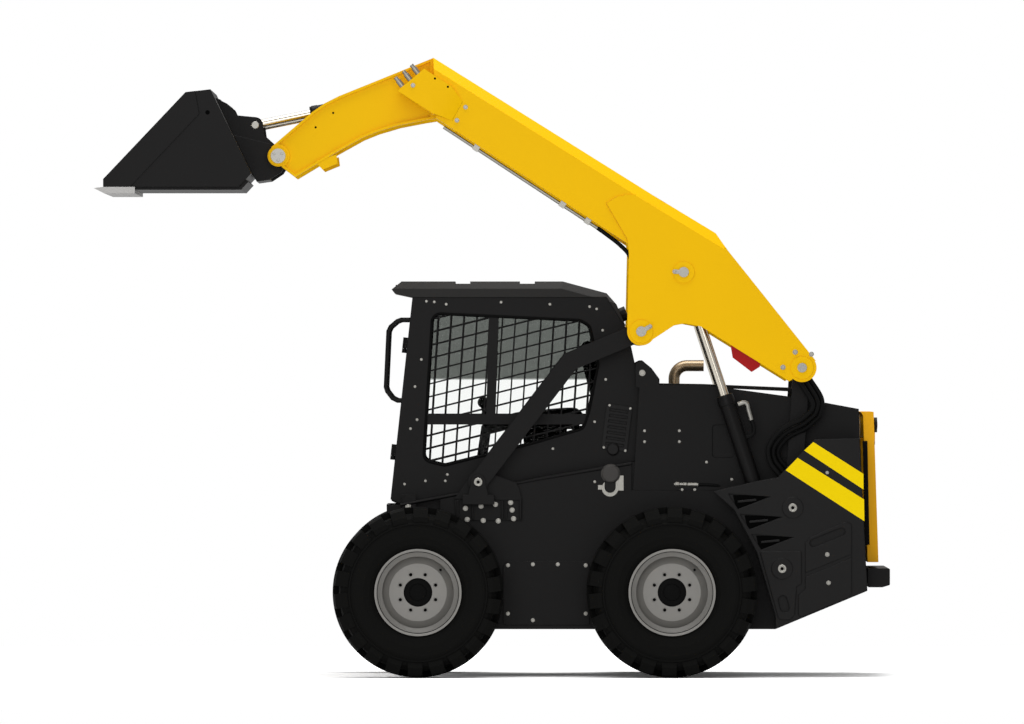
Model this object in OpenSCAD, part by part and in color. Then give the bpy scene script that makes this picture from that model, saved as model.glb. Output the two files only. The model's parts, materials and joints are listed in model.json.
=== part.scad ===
// Skid steer loader with a vertical-path lift arm and a bucket, raised as in the photo.
// Millimetres. +X forward, +Y the machine's left, +Z up, ground at z = 0.
// Inside the modules x counts from the middle of the wheelbase and z from the axles.

/* [Running gear] */
// Distance between the front and the rear axle
wheelbase = 1352; // [1200:1:1500]
// Rolling radius of a tyre, out to the tips of the lugs
tyre_r = 455; // [420:1:480]
// Width of a tyre
tyre_w = 350; // [300:1:380]
// Room between the frame's side and a tyre's inner side
tyre_in = 42; // [35:1:80]
// Lugs on each half of a tyre
lug_count = 22; // [18:1:26]
// Height of a tread lug
lug_h = 34; // [20:1:45]
// Radius of the rim's flange
rim_r = 232; // [220:1:240]
// Radius of the hole in the middle of a wheel
wheel_bore_r = 76.2; // [60:0.1:85]
// Diameter of the circle of wheel bolts
wheel_pcd = 203.2; // [190:0.1:220]
// Radius of a wheel bolt hole
wheel_hole_r = 8.5; // [6:0.5:10]

/* [Frame] */
// Half width of the lower frame
tub_half = 580; // [540:1:620]
// Thickness of the frame's plates
tub_wall = 16; // [8:1:24]
// Height of the belly below the axles
belly_drop = 200; // [120:1:260]
// Rear end of the bumper, from the middle of the wheelbase
bumper_x = -1841; // [-1900:1:-1810]
// Outer face of the rear side panels, from the frame's side
pod_out = 194; // [184:1:220]
// Thickness of the rear side panels
pod_t = 18; // [14:1:24]
// Width of the deck beside the hood
deck_w = 150; // [120:1:190]
// Radius of the hitch pin's bore in the bumper
hitch_r = 14; // [8:1:16]
// Radius of the tie-down holes in the bumper
tie_r = 16; // [10:1:20]

/* [Cab] */
// Half width of the cab
cab_half = 494; // [460:1:520]
// Room beside the cab for the links
cab_room = 86; // [80:1:110]
// Thickness of the cab's panels
cab_t = 24; // [18:1:40]
// Width of a front pillar
pillar_w = 58; // [50:1:80]
// Distance between the wires of the side screens
screen_pitch = 69; // [50:1:90]
// Width of a screen's wire
screen_wire = 8; // [5:1:10]

/* [Lift linkage] */
// Width of the front link bar
link_w = 100; // [80:1:110]
// Thickness of the front and rear links
link_t = 40; // [30:1:44]
// Radius of the linkage pins
pin_r = 25; // [18:1:30]
// Room between a wheel and its hub
hub_gap = 0.5; // [0.3:0.1:1]
// Room between a pin and its bore
pin_gap = 1; // [0.5:0.1:2]
// Radius of a lift cylinder's barrel
lift_barrel_r = 42; // [34:1:44]
// Radius of a lift cylinder's rod
lift_rod_r = 25; // [18:1:30]
// Radius of a hydraulic hose
hose_r = 10; // [8:1:12]

/* [Lift arm] */
// Outer face of the arm's rear plates, from the frame's side
arm_out = 200; // [190:1:220]
// Width of the box beam of the arm
beam_w = 95; // [80:1:98]
// Plate thickness of the arm
arm_t = 12; // [8:1:14]
// Leg of the chamfer along the outer top edge
arm_chamfer = 50; // [20:1:60]
// Outer face of the arm's front legs, from the frame's side
leg_out = 28; // [20:1:32]
// Width of the arm's front legs
leg_w = 96; // [80:1:100]
// Set-in of a leg's web from the edges of its flanges
leg_recess = 14; // [8:1:20]
// Radius of the cross tubes between the arms
cross_r = 55; // [40:1:60]

/* [Bucket] */
// Half width of the bucket
bucket_half = 990; // [900:1:1050]
// Thickness of the bucket's plates
bucket_t = 12; // [8:1:16]
// Thickness of the cutters along the bucket's sides
cutter_t = 10; // [6:1:14]
// Radius of a tilt cylinder's barrel
tilt_barrel_r = 38; // [30:1:40]
// Radius of a tilt cylinder's rod
tilt_rod_r = 22; // [15:1:26]
// Distance of a tilt cylinder from the middle plane
tilt_y = 430; // [410:1:436]

/* [Hidden] */
$fn = 48;

// Colours of the paints
yellow = "#f2b705";
black = "#1d1d1b";
grey = "#4a4a4a";
silver = "#b9b8b4";
steel = "#8e8f90";
glass = "#7d8a86";
red = "#c03020";

// Room between pieces that are bolted or welded together
seam = 0.3;

// Pivots of the linkage, as [x, z]
front_foot = [356, 586];
front_head = [-513, 1389];
front_bend = [-135, 1229];
lift_foot = [-1263, 125];
lift_head = [-739, 1705];
rear_foot = [-1320, 450];
rear_head = [-1370, 1196];
hinge_pin = [1424, 2326];
tilt_foot = [745, 2657];
tilt_head = [1548, 2493];

// Half width of the frame or the cab with its room, which the links pass
side_y = max(tub_half, cab_half + cab_room);

// Planes along y
arm_in = side_y + 12;
arm_y = side_y + arm_out;
beam_in = arm_y - beam_w;
leg_y = side_y + leg_out;
leg_in = leg_y - leg_w;
link_y = arm_in + arm_t + 8 + link_t / 2;
lift_y = link_y + link_t / 2 + lift_barrel_r + 6;
pod_y = side_y + pod_out;
tyre_y = side_y + tyre_in + tyre_w / 2;
door_half = cab_half - pillar_w;
hood_half = tub_half - deck_w;

// The axles, the bucket's lip and the part's middle along x
axle_x = wheelbase / 2;
lip = [2399, 2151];
mid_x = (lip.x + bumper_x) / 2;

// Puts a module, drawn about the wheelbase, over the part's origin
module place() translate([-mid_x, 0, tyre_r]) children();

// A thing and its mirror image
module both() {
    children();
    mirror([0, 1, 0]) children();
}

// An outline in x and z, from y0 to y1
module side(y0, y1) translate([0, y1, 0]) rotate([90, 0, 0]) linear_extrude(y1 - y0) children();

// A round bar along y at p
module across(p, y0, y1, r) translate([p.x, y1, p.y]) rotate([90, 0, 0]) cylinder(r = r, h = y1 - y0);

// A flat bar outline from a to b
module bar2d(a, b, w) translate(a) rotate(atan2(b.y - a.y, b.x - a.x)) translate([0, -w / 2])
    square([norm(b - a), w]);

// A flat bar outline with round ends
module slot2d(a, b, w) {
    g = atan2(b.y - a.y, b.x - a.x);
    polygon(concat([for (k = [-6 : 6]) b + w / 2 * [cos(g + 15 * k), sin(g + 15 * k)]],
                   [for (k = [6 : 18]) a + w / 2 * [cos(g + 15 * k), sin(g + 15 * k)]]));
}

// A round bar in the plane y from a to b
module rod(a, b, y, r) translate([a.x, y, a.y]) rotate([0, 90 - atan2(b.y - a.y, b.x - a.x), 0])
    cylinder(r = r, h = norm(b - a));

// A point on the way from a to b, d along it
function toward(a, b, d) = a + (b - a) * d / norm(b - a);

// Direction from a to b, the direction to its left, and the turn from u to v
function way(a, b) = (b - a) / norm(b - a);
function left(u) = [-u.y, u.x];
function turn(u, v) = atan2(u.x * v.y - u.y * v.x, u * v);

// An outline moved inward by t, its points counted anticlockwise
function inset(p, t) = [for (i = [0 : len(p) - 1])
    let (b = p[i], m = left(way(p[(i + len(p) - 1) % len(p)], b)), n = left(way(b, p[(i + 1) % len(p)])))
    b + t * (m + n) / (1 + m * n)];

// An outline with its corners rounded by radius r, in n steps each
function rounded(p, r, n = 4) = [for (i = [0 : len(p) - 1])
    let (b = p[i], u = way(p[(i + len(p) - 1) % len(p)], b), w = turn(u, way(b, p[(i + 1) % len(p)])),
         s = sign(w), c = b - u * r * tan(abs(w) / 2) + s * r * left(u), d = -s * left(u))
    for (k = [0 : n]) let (g = atan2(d.y, d.x) + w * k / n) c + r * [cos(g), sin(g)]];

// One edge of a strip along the points p, d to their left
function edge(p, d) = [for (i = [0 : len(p) - 1])
    let (b = p[i], u = i > 0 ? way(p[i - 1], b) : way(b, p[1]), v = i < len(p) - 1 ? way(b, p[i + 1]) : u,
         m = left(u), n = left(v))
    b + d * (m + n) / (1 + m * n)];

// Outline of a strip of width w along the points p
function strip(p, w) = let (q = edge(p, -w / 2))
    concat(edge(p, w / 2), [for (i = [len(q) - 1 : -1 : 0]) q[i]]);

// A round tube in the plane y along the points p, its corners bent by radius bend
module tube(p, y, r, bend) {
    n = len(p) - 1;
    // Length that each bend takes from its straight stretches
    cut = [for (i = [0 : n]) i == 0 || i == n ? 0
           : bend * tan(abs(turn(way(p[i - 1], p[i]), way(p[i], p[i + 1]))) / 2)];
    for (i = [0 : n - 1]) {
        u = way(p[i], p[i + 1]);
        rod(p[i] + u * cut[i], p[i + 1] - u * cut[i + 1], y, r);
        for (q = [i > 0 ? p[i] + u * cut[i] : [], i < n - 1 ? p[i + 1] - u * cut[i + 1] : []])
            if (len(q) > 0) translate([q.x, y, q.y]) sphere(r = r + 0.2);
    }
    for (i = [1 : n - 1]) {
        u = way(p[i - 1], p[i]);
        a = turn(u, way(p[i], p[i + 1]));
        c = p[i] - u * cut[i] + sign(a) * bend * left(u);
        d = -sign(a) * left(u);
        translate([c.x, y, c.y]) rotate([90, 0, 0]) rotate(atan2(d.y, d.x) + min(a, 0))
            rotate_extrude(angle = abs(a)) translate([bend, 0]) circle(r = r);
    }
}

// Chamfers the edge from a to b at the plane y
module chamfer_cut(a, b, y, leg) translate([a.x, y, a.y]) rotate([0, -atan2(b.y - a.y, b.x - a.x), 0])
    rotate([45, 0, 0]) translate([-80, -leg / sqrt(2), -leg / sqrt(2)])
    cube([norm(b - a) + 160, leg * sqrt(2), leg * sqrt(2)]);

// Frame

tub_front_x = axle_x - 116;
tub_rear_x = -1640;
tub_kick_x = -1230;
tub_kick_z = -20;
tub_deck_z = 540;
tub_outline = [[tub_front_x, -belly_drop], [tub_front_x, 500], [27, 603], [-463, 683], [-463, tub_deck_z],
               [tub_rear_x, tub_deck_z], [tub_rear_x, tub_kick_z], [tub_kick_x, -belly_drop]];
tub_in = tub_half - tub_wall - seam;
nose_half = tub_half - 90;
nose_foot_z = -150;
nose_front = [[770, nose_foot_z], [836, 60], [846, 464]];
cover_outline = [[223, 22 - belly_drop], [223, 140], [200, 162], [-215, 162], [-239, 140],
                 [-239, 22 - belly_drop]];

// Top and underside of the cab's floor behind the pedals, at x
function floor_top(x) = 640 + (260 - x) * 0.12;
function floor_under(x) = 590 + (200 - x) * 0.16;

module chassis_tub() {
    color(black) both() {
        // Side plate with the lift cylinder's pin and the cover between the wheels
        side(tub_half - tub_wall, tub_half) polygon(tub_outline);
        across(lift_foot, tub_half - 1, pod_y - pod_t, pin_r);
        side(tub_half - 1, tub_half + 6) polygon(rounded(cover_outline, 14));
        // Wall beside the nose
        translate([tub_front_x - tub_wall, nose_half + seam, tub_wall - belly_drop + seam])
            cube([tub_wall, tub_in - nose_half - seam, 470 + belly_drop]);
        // Cheek of the nose and the cab's front foot on it
        side(nose_half - tub_wall, nose_half)
            polygon(concat([[tub_front_x - tub_wall, nose_foot_z]], nose_front,
                           [[771, 464], [tub_front_x - tub_wall, 498]]));
        side(nose_half - 1, cab_half + 12) polygon([[689, 439], [766, 439], [766, 463], [689, 463]]);
        side(cab_half + seam, cab_half + 12) polygon([[689, 450], [766, 450], [766, 519], [689, 519]]);
    }
    color(black) {
        // Belly, rear wall and the strip under the nose
        side(-tub_in, tub_in)
            polygon([[tub_front_x, -belly_drop], [tub_front_x, tub_wall - belly_drop],
                     [tub_kick_x + 4, tub_wall - belly_drop], [tub_rear_x, tub_kick_z + tub_wall],
                     [tub_rear_x, tub_kick_z], [tub_kick_x, -belly_drop]]);
        side(-tub_in, tub_in) translate([tub_rear_x, tub_kick_z + tub_wall + seam])
            square([tub_wall, tub_deck_z - tub_kick_z - tub_wall - seam]);
        side(-nose_half, nose_half) translate([tub_front_x - tub_wall, tub_wall - belly_drop + seam])
            square([tub_wall, nose_foot_z + belly_drop - tub_wall - 2 * seam]);
        // Skin of the nose
        side(-nose_half + tub_wall + seam, nose_half - tub_wall - seam)
            polygon(concat([[tub_front_x + seam, nose_foot_z]], nose_front,
                           [[nose_front[2].x - tub_wall, 464], [nose_front[1].x - tub_wall, 62],
                            [nose_front[0].x - 11, nose_foot_z + tub_wall],
                            [tub_front_x + seam, nose_foot_z + tub_wall]]));
        // Beams under the cab
        for (x = [100, -455]) {
            side(-tub_in, tub_in) polygon([[x, 480], [x + 60, 480], [x + 60, 540], [x, 540]]);
            side(-cab_half + cab_t + 4, cab_half - cab_t - 4)
                polygon([[x, 520], [x + 60, 520], [x + 60, floor_under(x + 60)], [x, floor_under(x)]]);
        }
    }
}

upright_outline = [[-505, 1104], [-851, 1104], [-1357, 1035], [-1676, 976], [-1690, tub_deck_z],
                   [-470, tub_deck_z]];
ear_outline = [[-484, 1090], [-484, 1222], [-516, 1238], [-569, 1194], [-612, 1136], [-612, 1090]];
ear_hole = [-521, 1170];
recess_outline = [[-894, 716], [-894, 891], [-1011, 891], [-1011, 716]];

module frame_uprights() {
    color(black) {
        both() {
            difference() {
                side(tub_half - tub_wall, tub_half) {
                    polygon(upright_outline);
                    polygon(rounded(ear_outline, 12));
                }
                side(tub_half - tub_wall / 2, tub_half + 1) polygon(rounded(recess_outline, 16));
                across(ear_hole, tub_half - 2 * tub_wall, tub_half + 1, 9);
            }
            // Deck beside the hood
            side(hood_half + 8, tub_in)
                polygon([[-542, 1096], [-542, 1080], [-851, 1080], [-1357, 1011], [-1620, 961], [-1620, 977],
                         [-1357, 1027], [-851, 1096]]);
        }
        // Hinge pins of the rear door
        for (z = rear_hinge_z) translate([rear_hinge.x, rear_hinge.y, z - 20]) {
            cylinder(r = hinge_r, h = 80);
            cylinder(r = knuckle_r, h = 19);
            translate([0, -14, 0]) cube([100, 14, 19]);
        }
        for (z = rear_hinge_z) translate([-1700, -tub_half, z - 20]) cube([40, 28, 19]);
        // Hinge pins of the hood
        both() {
            for (y = [hood_hinge_y - 44, hood_hinge_y + 30]) side(y, y + 14)
                polygon([[-528, 1079], [-540, 1079], [-576, 1100], [-576, 1120], [-560, 1128], [-528, 1100]]);
            across(hood_hinge, hood_hinge_y - 40, hood_hinge_y + 40, hinge_r);
        }
        // Wall behind the cab
        side(-tub_in, tub_in) polygon([[-528, 1080], [-540, 1080], [-528, 541], [-516, 541]]);
    }
}

bracket_outline = [[485, 495], [400, 612], [318, 642], [152, 582], [135, 545], [122, 487]];
bracket_base = [[473, 380], [485, 496], [122, 488], [122, 380]];
bracket_ribs = [464, 385, 228, 207, 131];
bracket_t = 26;

module link_brackets() {
    inner = link_y - link_t / 2 - 6;
    outer = link_y + link_t / 2 + 6;
    color(black) both() {
        // Ribbed base and the ear beside the link
        side(inner - bracket_t, inner - 10) polygon(bracket_base);
        side(inner - bracket_t, inner) polygon(bracket_outline);
        for (x = bracket_ribs) side(tub_half, inner + 6)
            polygon([[x + 5, 388], [x + 5, 488], [x - 5, 488], [x - 5, 388]]);
        // Shelf and the outer ear
        side(inner - 1, outer + 10) polygon([[440, 466], [440, 516], [270, 516], [270, 466]]);
        side(outer, outer + 10) {
            translate(front_foot) circle(r = 40);
            polygon([[420, 466], front_foot + [39, -6], front_foot - [39, 6], [290, 466]]);
        }
        across(front_foot, tub_half, outer + 16, pin_r);
    }
}

module axle_stubs() {
    color(black) both() for (x = [-axle_x, axle_x]) {
        across([x, 0], tub_half, tyre_y - 20, 110);
        across([x, 0], tyre_y - 21, tyre_y + 56, wheel_bore_r - hub_gap);
        across([x, 0], tub_half, tub_half + 16, 150);
    }
}

module engine_block() {
    sump_z = tub_wall - belly_drop;
    color(grey) {
        side(-330, 330) polygon([[-640, -80], [-640, 760], [-900, 930], [-1380, 880], [-1500, 700], [-1500, 60],
                                 [-1200, -80]]);
        side(-tub_half + 160, tub_half - 160) polygon([[-1560, 60], [-1560, 820], [-1499, 820], [-1499, 60]]);
        side(-300, 300) polygon([[-641, sump_z], [-641, -79], [-1200, -79], [-1200, sump_z]]);
    }
}

// A point round the rear axle, a room g outside the tyre at angle w
function round_tyre(g, w) = [-axle_x, 0] + (tyre_r + g) * [cos(w), sin(w)];

// The rear side panels, whose front edge keeps clear of the tyre
pod_outline = [round_tyre(125, 112.3), [-axle_x - 452, 591], [-1242, 612], [-1279, 652], [-1436, 814],
               [-1676, 819], [-1718, 7], [-1231, -196], round_tyre(109, 192.5), round_tyre(45, 154.8),
               round_tyre(96, 126.9)];
pod_louvre = [round_tyre(149, 119.8), round_tyre(278, 136.1), round_tyre(111, 128.5)];
louvre_step = [-62, -108];
slot_pad = [[-1145, 217], [-1366, 217], [-1366, 46], [-1340, 31], [-1329, -121], [-1302, -148], [-1245, -143]];
step_pad = [[-1387, 262], [-1412, 290], [-1600, 376], [-1633, 362], [-1633, -6], [-1617, -27], [-1366, -132],
            [-1350, -121], [-1350, -16], [-1387, 16]];
pad_h = 8;

module rear_pods() {
    color(black) both() {
        difference() {
            union() {
                side(tub_half, pod_y) polygon(pod_outline);
                // Raised pads and the round seats of the pivot pins
                side(pod_y - 1, pod_y + pad_h) polygon(rounded(slot_pad, 10));
                side(pod_y - 1, pod_y + pad_h) polygon(rounded(step_pad, 10));
                across(rear_foot, pod_y - 1, pod_y + 5, 56);
                across(lift_foot, pod_y - 1, pod_y + pad_h + 5, 56);
            }
            side(tub_half - 1, pod_y - pod_t) polygon(inset(pod_outline, pod_t));
            // Way in for the links from above
            side(tub_half + 14, pod_y - pod_t)
                polygon([[-860, 500], [-860, 900], [-1650, 900], [-1650, 700], [-1300, 560], [-1010, 480]]);
            // Louvres, each with a slat left standing
            for (i = [0 : 2]) side(pod_y - 10, pod_y + 1) translate(i * louvre_step) difference() {
                polygon(pod_louvre);
                bar2d(pod_louvre[0] + [-50, -42], pod_louvre[0] + [-150, -32], 12);
            }
            // Slot and handle in the pads and the groove across the large one
            side(pod_y - 8, pod_y + pad_h + 1) slot2d([-1266, -42], [-1277, -82], 50);
            side(pod_y - 8, pod_y + pad_h + 1) slot2d([-1432, 262], [-1578, 322], 44);
            side(pod_y + pad_h - 5, pod_y + pad_h + 1) bar2d([-1380, 90], [-1640, 196], 20);
        }
    }
}

module rear_bumper() {
    color(black) difference() {
        side(-tub_half - 60, tub_half + 60)
            polygon(rounded([[bumper_x, 36], [bumper_x, 125], [-1722, 125], [-1722, 24], [-1800, 24]], 8));
        // Slot of the hitch and its pin's bore
        translate([bumper_x - 1, -60, 60]) cube([80, 120, 30]);
        translate([bumper_x + 36, 0, -10]) cylinder(r = hitch_r, h = 200);
        both() translate([bumper_x + 28, tub_half - 20, -10]) cylinder(r = tie_r, h = 200);
    }
    color(black) both() side(tub_half - 110, tub_half - 80)
        polygon([[-1723, 40], [-1723, 120], [tub_rear_x, 120], [tub_rear_x, 40]]);
}

exhaust_r = 30;
exhaust_bend = 70;

module exhaust_pipe() {
    y = -(hood_half + 8 + tub_in) / 2;
    color(silver) difference() {
        tube([[-700, 1096], [-700, 1206], [-860, 1206]], y, exhaust_r, exhaust_bend);
        rod([-800, 1206], [-870, 1206], y, exhaust_r - 4);
    }
}

module fuel_filler() {
    color(black) translate([-351, tub_half, 630]) rotate([-90, 0, 0])
        rotate_extrude()
        polygon([[0, 0], [52, 0], [52, 5], [41, 7], [41, 11], [46, 13], [46, 21], [40, 25], [0, 25]]);
}

// Cab

cab_front_top = [708, 1572];
cab_front_foot = [825, 492];
cab_outline = [[771, 470], cab_front_foot, cab_front_top, [-330, 1572], [-442, 1396], [-505, 1108], [-505, 700],
               [-463, 692], [27, 612]];
window_outline = [[601, 1487], [-190, 1450], [-240, 1420], [-286, 1215], [-237, 963], [-206, 870], [69, 790],
                  [537, 673], [649, 700]];
window_round = rounded(window_outline, 45);
cab_in = cab_half - cab_t;

module cab_sides() {
    color(grey) both() {
        side(cab_in, cab_half) difference() {
            polygon(cab_outline);
            polygon(window_round);
        }
        // Front pillar
        side(door_half + 6, cab_in + 1)
            polygon([cab_front_foot, cab_front_top, cab_front_top - [60, 0], cab_front_foot - [60, 0]]);
    }
    // Hinge pins of the front door
    color(grey) for (s = cab_hinge_s) at_cab_hinge(s) {
        translate([0, 0, -24]) cylinder(r = hinge_r, h = 84);
        translate([0, 0, -24]) cylinder(r = knuckle_r, h = 23);
        translate([-cab_hinge_out - 1, -34, -24]) cube([cab_hinge_out + 1, 34, 23]);
    }
}

// Inner face of the cab's rear panel, at z
function rear_in(z) = -480 + (z - 1105) * 63 / 285;

module cab_rear() {
    color(grey) difference() {
        side(-cab_in, cab_in)
            polygon([[-441, 1390], [-504, 1108], [-504, 702], [-480, 702], [-480, 1105], [-417, 1390]]);
        translate([-700, 164 - cab_half, 1120]) cube([400, 2 * cab_half - 328, 210]);
    }
}

pedal_z = 470;
pedal_half = min(cab_in, nose_half - tub_wall - 4);

module cab_floor() {
    color(black) {
        side(-cab_in, cab_in)
            polygon([[320, pedal_z - 24], [320, pedal_z], [270, floor_top(270)], [-478, floor_top(-478)],
                     [-478, floor_under(-463)], [-463, floor_under(-463)], [240, floor_under(240)],
                     [290, pedal_z - 24]]);
        side(-pedal_half, pedal_half)
            polygon([[761, pedal_z - 24], [761, pedal_z], [319, pedal_z], [319, pedal_z - 24]]);
        // Sill under the door
        side(-door_half, door_half) polygon([[820, 484], [808, 590], [770, 590], [735, 460], [755, 450]]);
    }
}

roof_outline = [[819, 1614], [766, 1657], [-96, 1657], [-330, 1594], [-383, 1534], [-432, 1420], [-427, 1420],
                [-330, 1572], [715, 1572], [800, 1590]];
roof_y = cab_half + 8;
roof_chamfer = 40;
visor_lamp = [772, 1617];
visor_lamp_r = 22;
rear_lamp = [-407.5, 1477];
rear_lamp_way = [-0.919, 0.395];
rear_lamp_r = 38;
lamp_y = cab_half - 190;

module cab_roof() {
    color(grey) difference() {
        side(-roof_y, roof_y) polygon(roof_outline);
        side(-cab_in, cab_in)
            polygon([[690, 1570], [690, 1630], [-90, 1630], [-300, 1575], [-300, 1570]]);
        // Bevels along the sides, and the grooves that part the roof's top
        both() {
            chamfer_cut([-96, 1657], [766, 1657], roof_y, roof_chamfer);
            chamfer_cut([-330, 1594], [-96, 1657], roof_y, roof_chamfer);
        }
        for (x = [399, 53]) translate([x, -roof_y - 1, 1645]) cube([80, 2 * roof_y + 2, 30]);
        // Seats of the lamps in the visor
        both() rod(visor_lamp - [2, 0], visor_lamp + [80, 0], lamp_y + 90, visor_lamp_r + seam);
    }
    color(grey) side(-door_half - 6, door_half + 6)
        polygon([[705, 1494], [700, 1574], [640, 1574], [648, 1494]]);
}

module work_lamps() {
    color(black) both() {
        difference() {
            rod(visor_lamp, visor_lamp + [26, 0], lamp_y + 90, visor_lamp_r);
            rod(visor_lamp + [18, 0], visor_lamp + [30, 0], lamp_y + 90, visor_lamp_r - 4);
        }
        difference() {
            rod(rear_lamp + seam * rear_lamp_way, rear_lamp + 34 * rear_lamp_way, lamp_y, rear_lamp_r);
            rod(rear_lamp + 26 * rear_lamp_way, rear_lamp + 40 * rear_lamp_way, lamp_y, rear_lamp_r - 5);
        }
    }
}

module side_windows() {
    color(glass) both() side(cab_in - 6, cab_in) polygon(inset(window_outline, -20));
}

screen_middle = [180, 1080];
screen_way = way([649, 700], [601, 1487]);
screen_slant = [-cos(14), sin(14)];

// Wires of a side screen, upright and slanting, and its two wide bars
module screen_wires() {
    for (i = [-7 : 7]) let (p = screen_middle + i * [screen_pitch, 0])
        bar2d(p - 620 * screen_way, p + 620 * screen_way, screen_wire);
    for (i = [-9 : 9]) let (p = screen_middle + i * [0, screen_pitch])
        bar2d(p - 620 * screen_slant, p + 620 * screen_slant, screen_wire);
    bar2d([-320, 920], [680, 920], 56);
    bar2d([290, 935], [270, 1500], 50);
}

module window_screens() {
    color(black) both() side(cab_in + seam, cab_in + 12) intersection() {
        screen_wires();
        polygon(rounded(inset(window_outline, seam), 45));
    }
}

inlet_outline = [[-300, 765], [-330, 1005], [-470, 985], [-440, 745]];

module air_inlets() {
    color(black) both() difference() {
        side(cab_half + seam, cab_half + 9) polygon(rounded(inlet_outline, 12));
        // Slots between the louvres
        for (i = [1 : 7]) side(cab_half + 4, cab_half + 10)
            let (a = inlet_outline[0] + i * (inlet_outline[1] - inlet_outline[0]) / 8)
            bar2d(a + [-22, -3], a + [-118, -17], 14);
    }
}

module rear_window() {
    color(glass) side(144 - cab_half, cab_half - 144)
        polygon([[rear_in(1110), 1110], [rear_in(1110) + 6, 1110], [rear_in(1340) + 6, 1340],
                 [rear_in(1340), 1340]]);
}

seat_half = cab_half - 264;

module seat() {
    color(black) {
        side(-seat_half, seat_half)
            polygon([[230, 900], [240, 960], [180, 985], [-240, 950], [-240, 860], [180, 860]]);
        side(-seat_half, seat_half)
            polygon([[-180, 940], [-290, 1360], [-340, 1370], [-380, 1330], [-300, 930]]);
        side(80 - seat_half, seat_half - 80)
            polygon([[-100, floor_top(-100)], [100, floor_top(100)], [100, 870], [-100, 870]]);
    }
}

module control_towers() {
    color(black) both() {
        side(cab_half - 194, cab_half - 94)
            polygon([[340, pedal_z], [400, pedal_z], [340, 880], [120, 920], [110, 880], [290, 850]]);
        rod([300, 880], [330, 1010], cab_half - 144, 18);
        translate([330, cab_half - 144, 1010]) sphere(r = 30);
    }
}

handle_r = 12;
handle = [[720, 1452], [780, 1452], [835, 1405], [850, 1080], [804, 1020], [744, 1020]];

// The points p with each corner cut short by bend
function eased(p, bend) = [for (i = [0 : len(p) - 1])
    if (i == 0 || i == len(p) - 1) p[i]
    else let (t = bend * tan(abs(turn(way(p[i - 1], p[i]), way(p[i], p[i + 1]))) / 2))
        each [p[i] - t * way(p[i - 1], p[i]), p[i] + t * way(p[i], p[i + 1])]];

module grab_handles() {
    p = eased(handle, 34);
    y = cab_half - 18;
    color(black) both() {
        for (i = [0 : len(p) - 2]) rod(p[i], p[i + 1], y, handle_r);
        for (i = [1 : len(p) - 2]) translate([p[i].x, y, p[i].y]) sphere(r = handle_r + 0.2);
    }
}

// Lift linkage

module link_bar() {
    polygon(strip([front_foot, front_bend, front_head], link_w));
    translate(front_foot) circle(r = 54);
    translate(front_head) circle(r = 60);
}

module front_links() {
    color(black) both() difference() {
        side(link_y - link_t / 2, link_y + link_t / 2) link_bar();
        across(front_foot, link_y - link_t, link_y + link_t, pin_r + pin_gap);
        across(front_head, link_y - link_t, link_y + link_t, pin_r + pin_gap);
    }
}

module rear_links() {
    color(black) both() difference() {
        side(link_y - link_t / 2, link_y + link_t / 2) {
            bar2d(rear_foot, rear_head, 90);
            translate(rear_foot) circle(r = 52);
            translate(rear_head) circle(r = 58);
        }
        across(rear_head, link_y - link_t, link_y + link_t, pin_r + pin_gap);
        across(rear_foot, link_y - link_t, link_y + link_t, pin_r + pin_gap);
    }
}

hose_path = [[-1372, 1150], [-1440, 1030], [-1400, 945], [-1322, 901]];
hose_bend = 80;
hose_step = 28;
clip_at = toward(hose_path[2], hose_path[3], 62);

module hydraulic_hoses() {
    near = link_y + link_t / 2;
    color(black) both() {
        for (i = [0 : 2])
            tube(edge(hose_path, (i - 1) * 24), near + 16 + i * hose_step, hose_r, hose_bend);
        // Clip that holds the three on the rear link
        side(near + seam, near + 16 + 2 * hose_step + hose_r + 4)
            bar2d(clip_at - [20, 36], clip_at + [20, 36], 16);
        side(near + seam, near + 5) bar2d([-1350, 872], clip_at, 40);
    }
}

barrel_end = 970;

module lift_barrels() {
    color(black) both() difference() {
        union() {
            across(lift_foot, lift_y - 28, lift_y + 28, 50);
            rod(toward(lift_foot, lift_head, 40), toward(lift_foot, lift_head, barrel_end), lift_y,
                lift_barrel_r);
        }
        across(lift_foot, lift_y - 60, lift_y + 60, pin_r + pin_gap);
        rod(toward(lift_foot, lift_head, 70), toward(lift_foot, lift_head, barrel_end + 5), lift_y,
            lift_rod_r + pin_gap);
    }
}

module lift_rods() {
    far = norm(lift_head - lift_foot);
    color(silver) both() difference() {
        union() {
            rod(toward(lift_foot, lift_head, far - 950), toward(lift_foot, lift_head, far - 30), lift_y,
                lift_rod_r);
            across(lift_head, lift_y - 24, lift_y + 24, 44);
        }
        across(lift_head, lift_y - 60, lift_y + 60, pin_r + pin_gap);
    }
}

// Lift arm

arm_rear_outline = [[-328, 2072], [-388, 2109], [-540, 2126], [-575, 2116], [-910, 1913], [-974, 1821],
                    [-1442, 1234], [-1302, 1123], [-832, 1415], [-746, 1432], [-689, 1422], [-580, 1350],
                    [-438, 1389], [-447, 1801], [-440, 1880]];
arm_ridge = [[-910, 1913], [-575, 2116]];
beam_outline = [[596, 2849], [-575, 2116], [-452, 1849], [580, 2526]];
leg_outline = [[596, 2849], [470, 2770], [480, 2462], [580, 2526], [638, 2517], [778, 2490], [895, 2455],
               [974, 2423], [1114, 2345], [1333, 2213], [1404, 2267], [1461, 2373], [1240, 2562], [1176, 2607],
               [1098, 2646]];
leg_hollow = [[580, 2800], [490, 2745], [495, 2510], [580, 2560], [778, 2510], [895, 2480], [1114, 2370],
              [1290, 2265], [1340, 2300], [1360, 2400], [1240, 2530], [1098, 2620]];
knee_outline = [[596, 2849], [470, 2770], [480, 2462], [580, 2526]];
knee_block = [[646, 2785], [497, 2694], [591, 2540], [787, 2673]];
coupler_tab = [[1229, 2296], [1112, 2334], [1106, 2286], [1186, 2253]];

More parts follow.
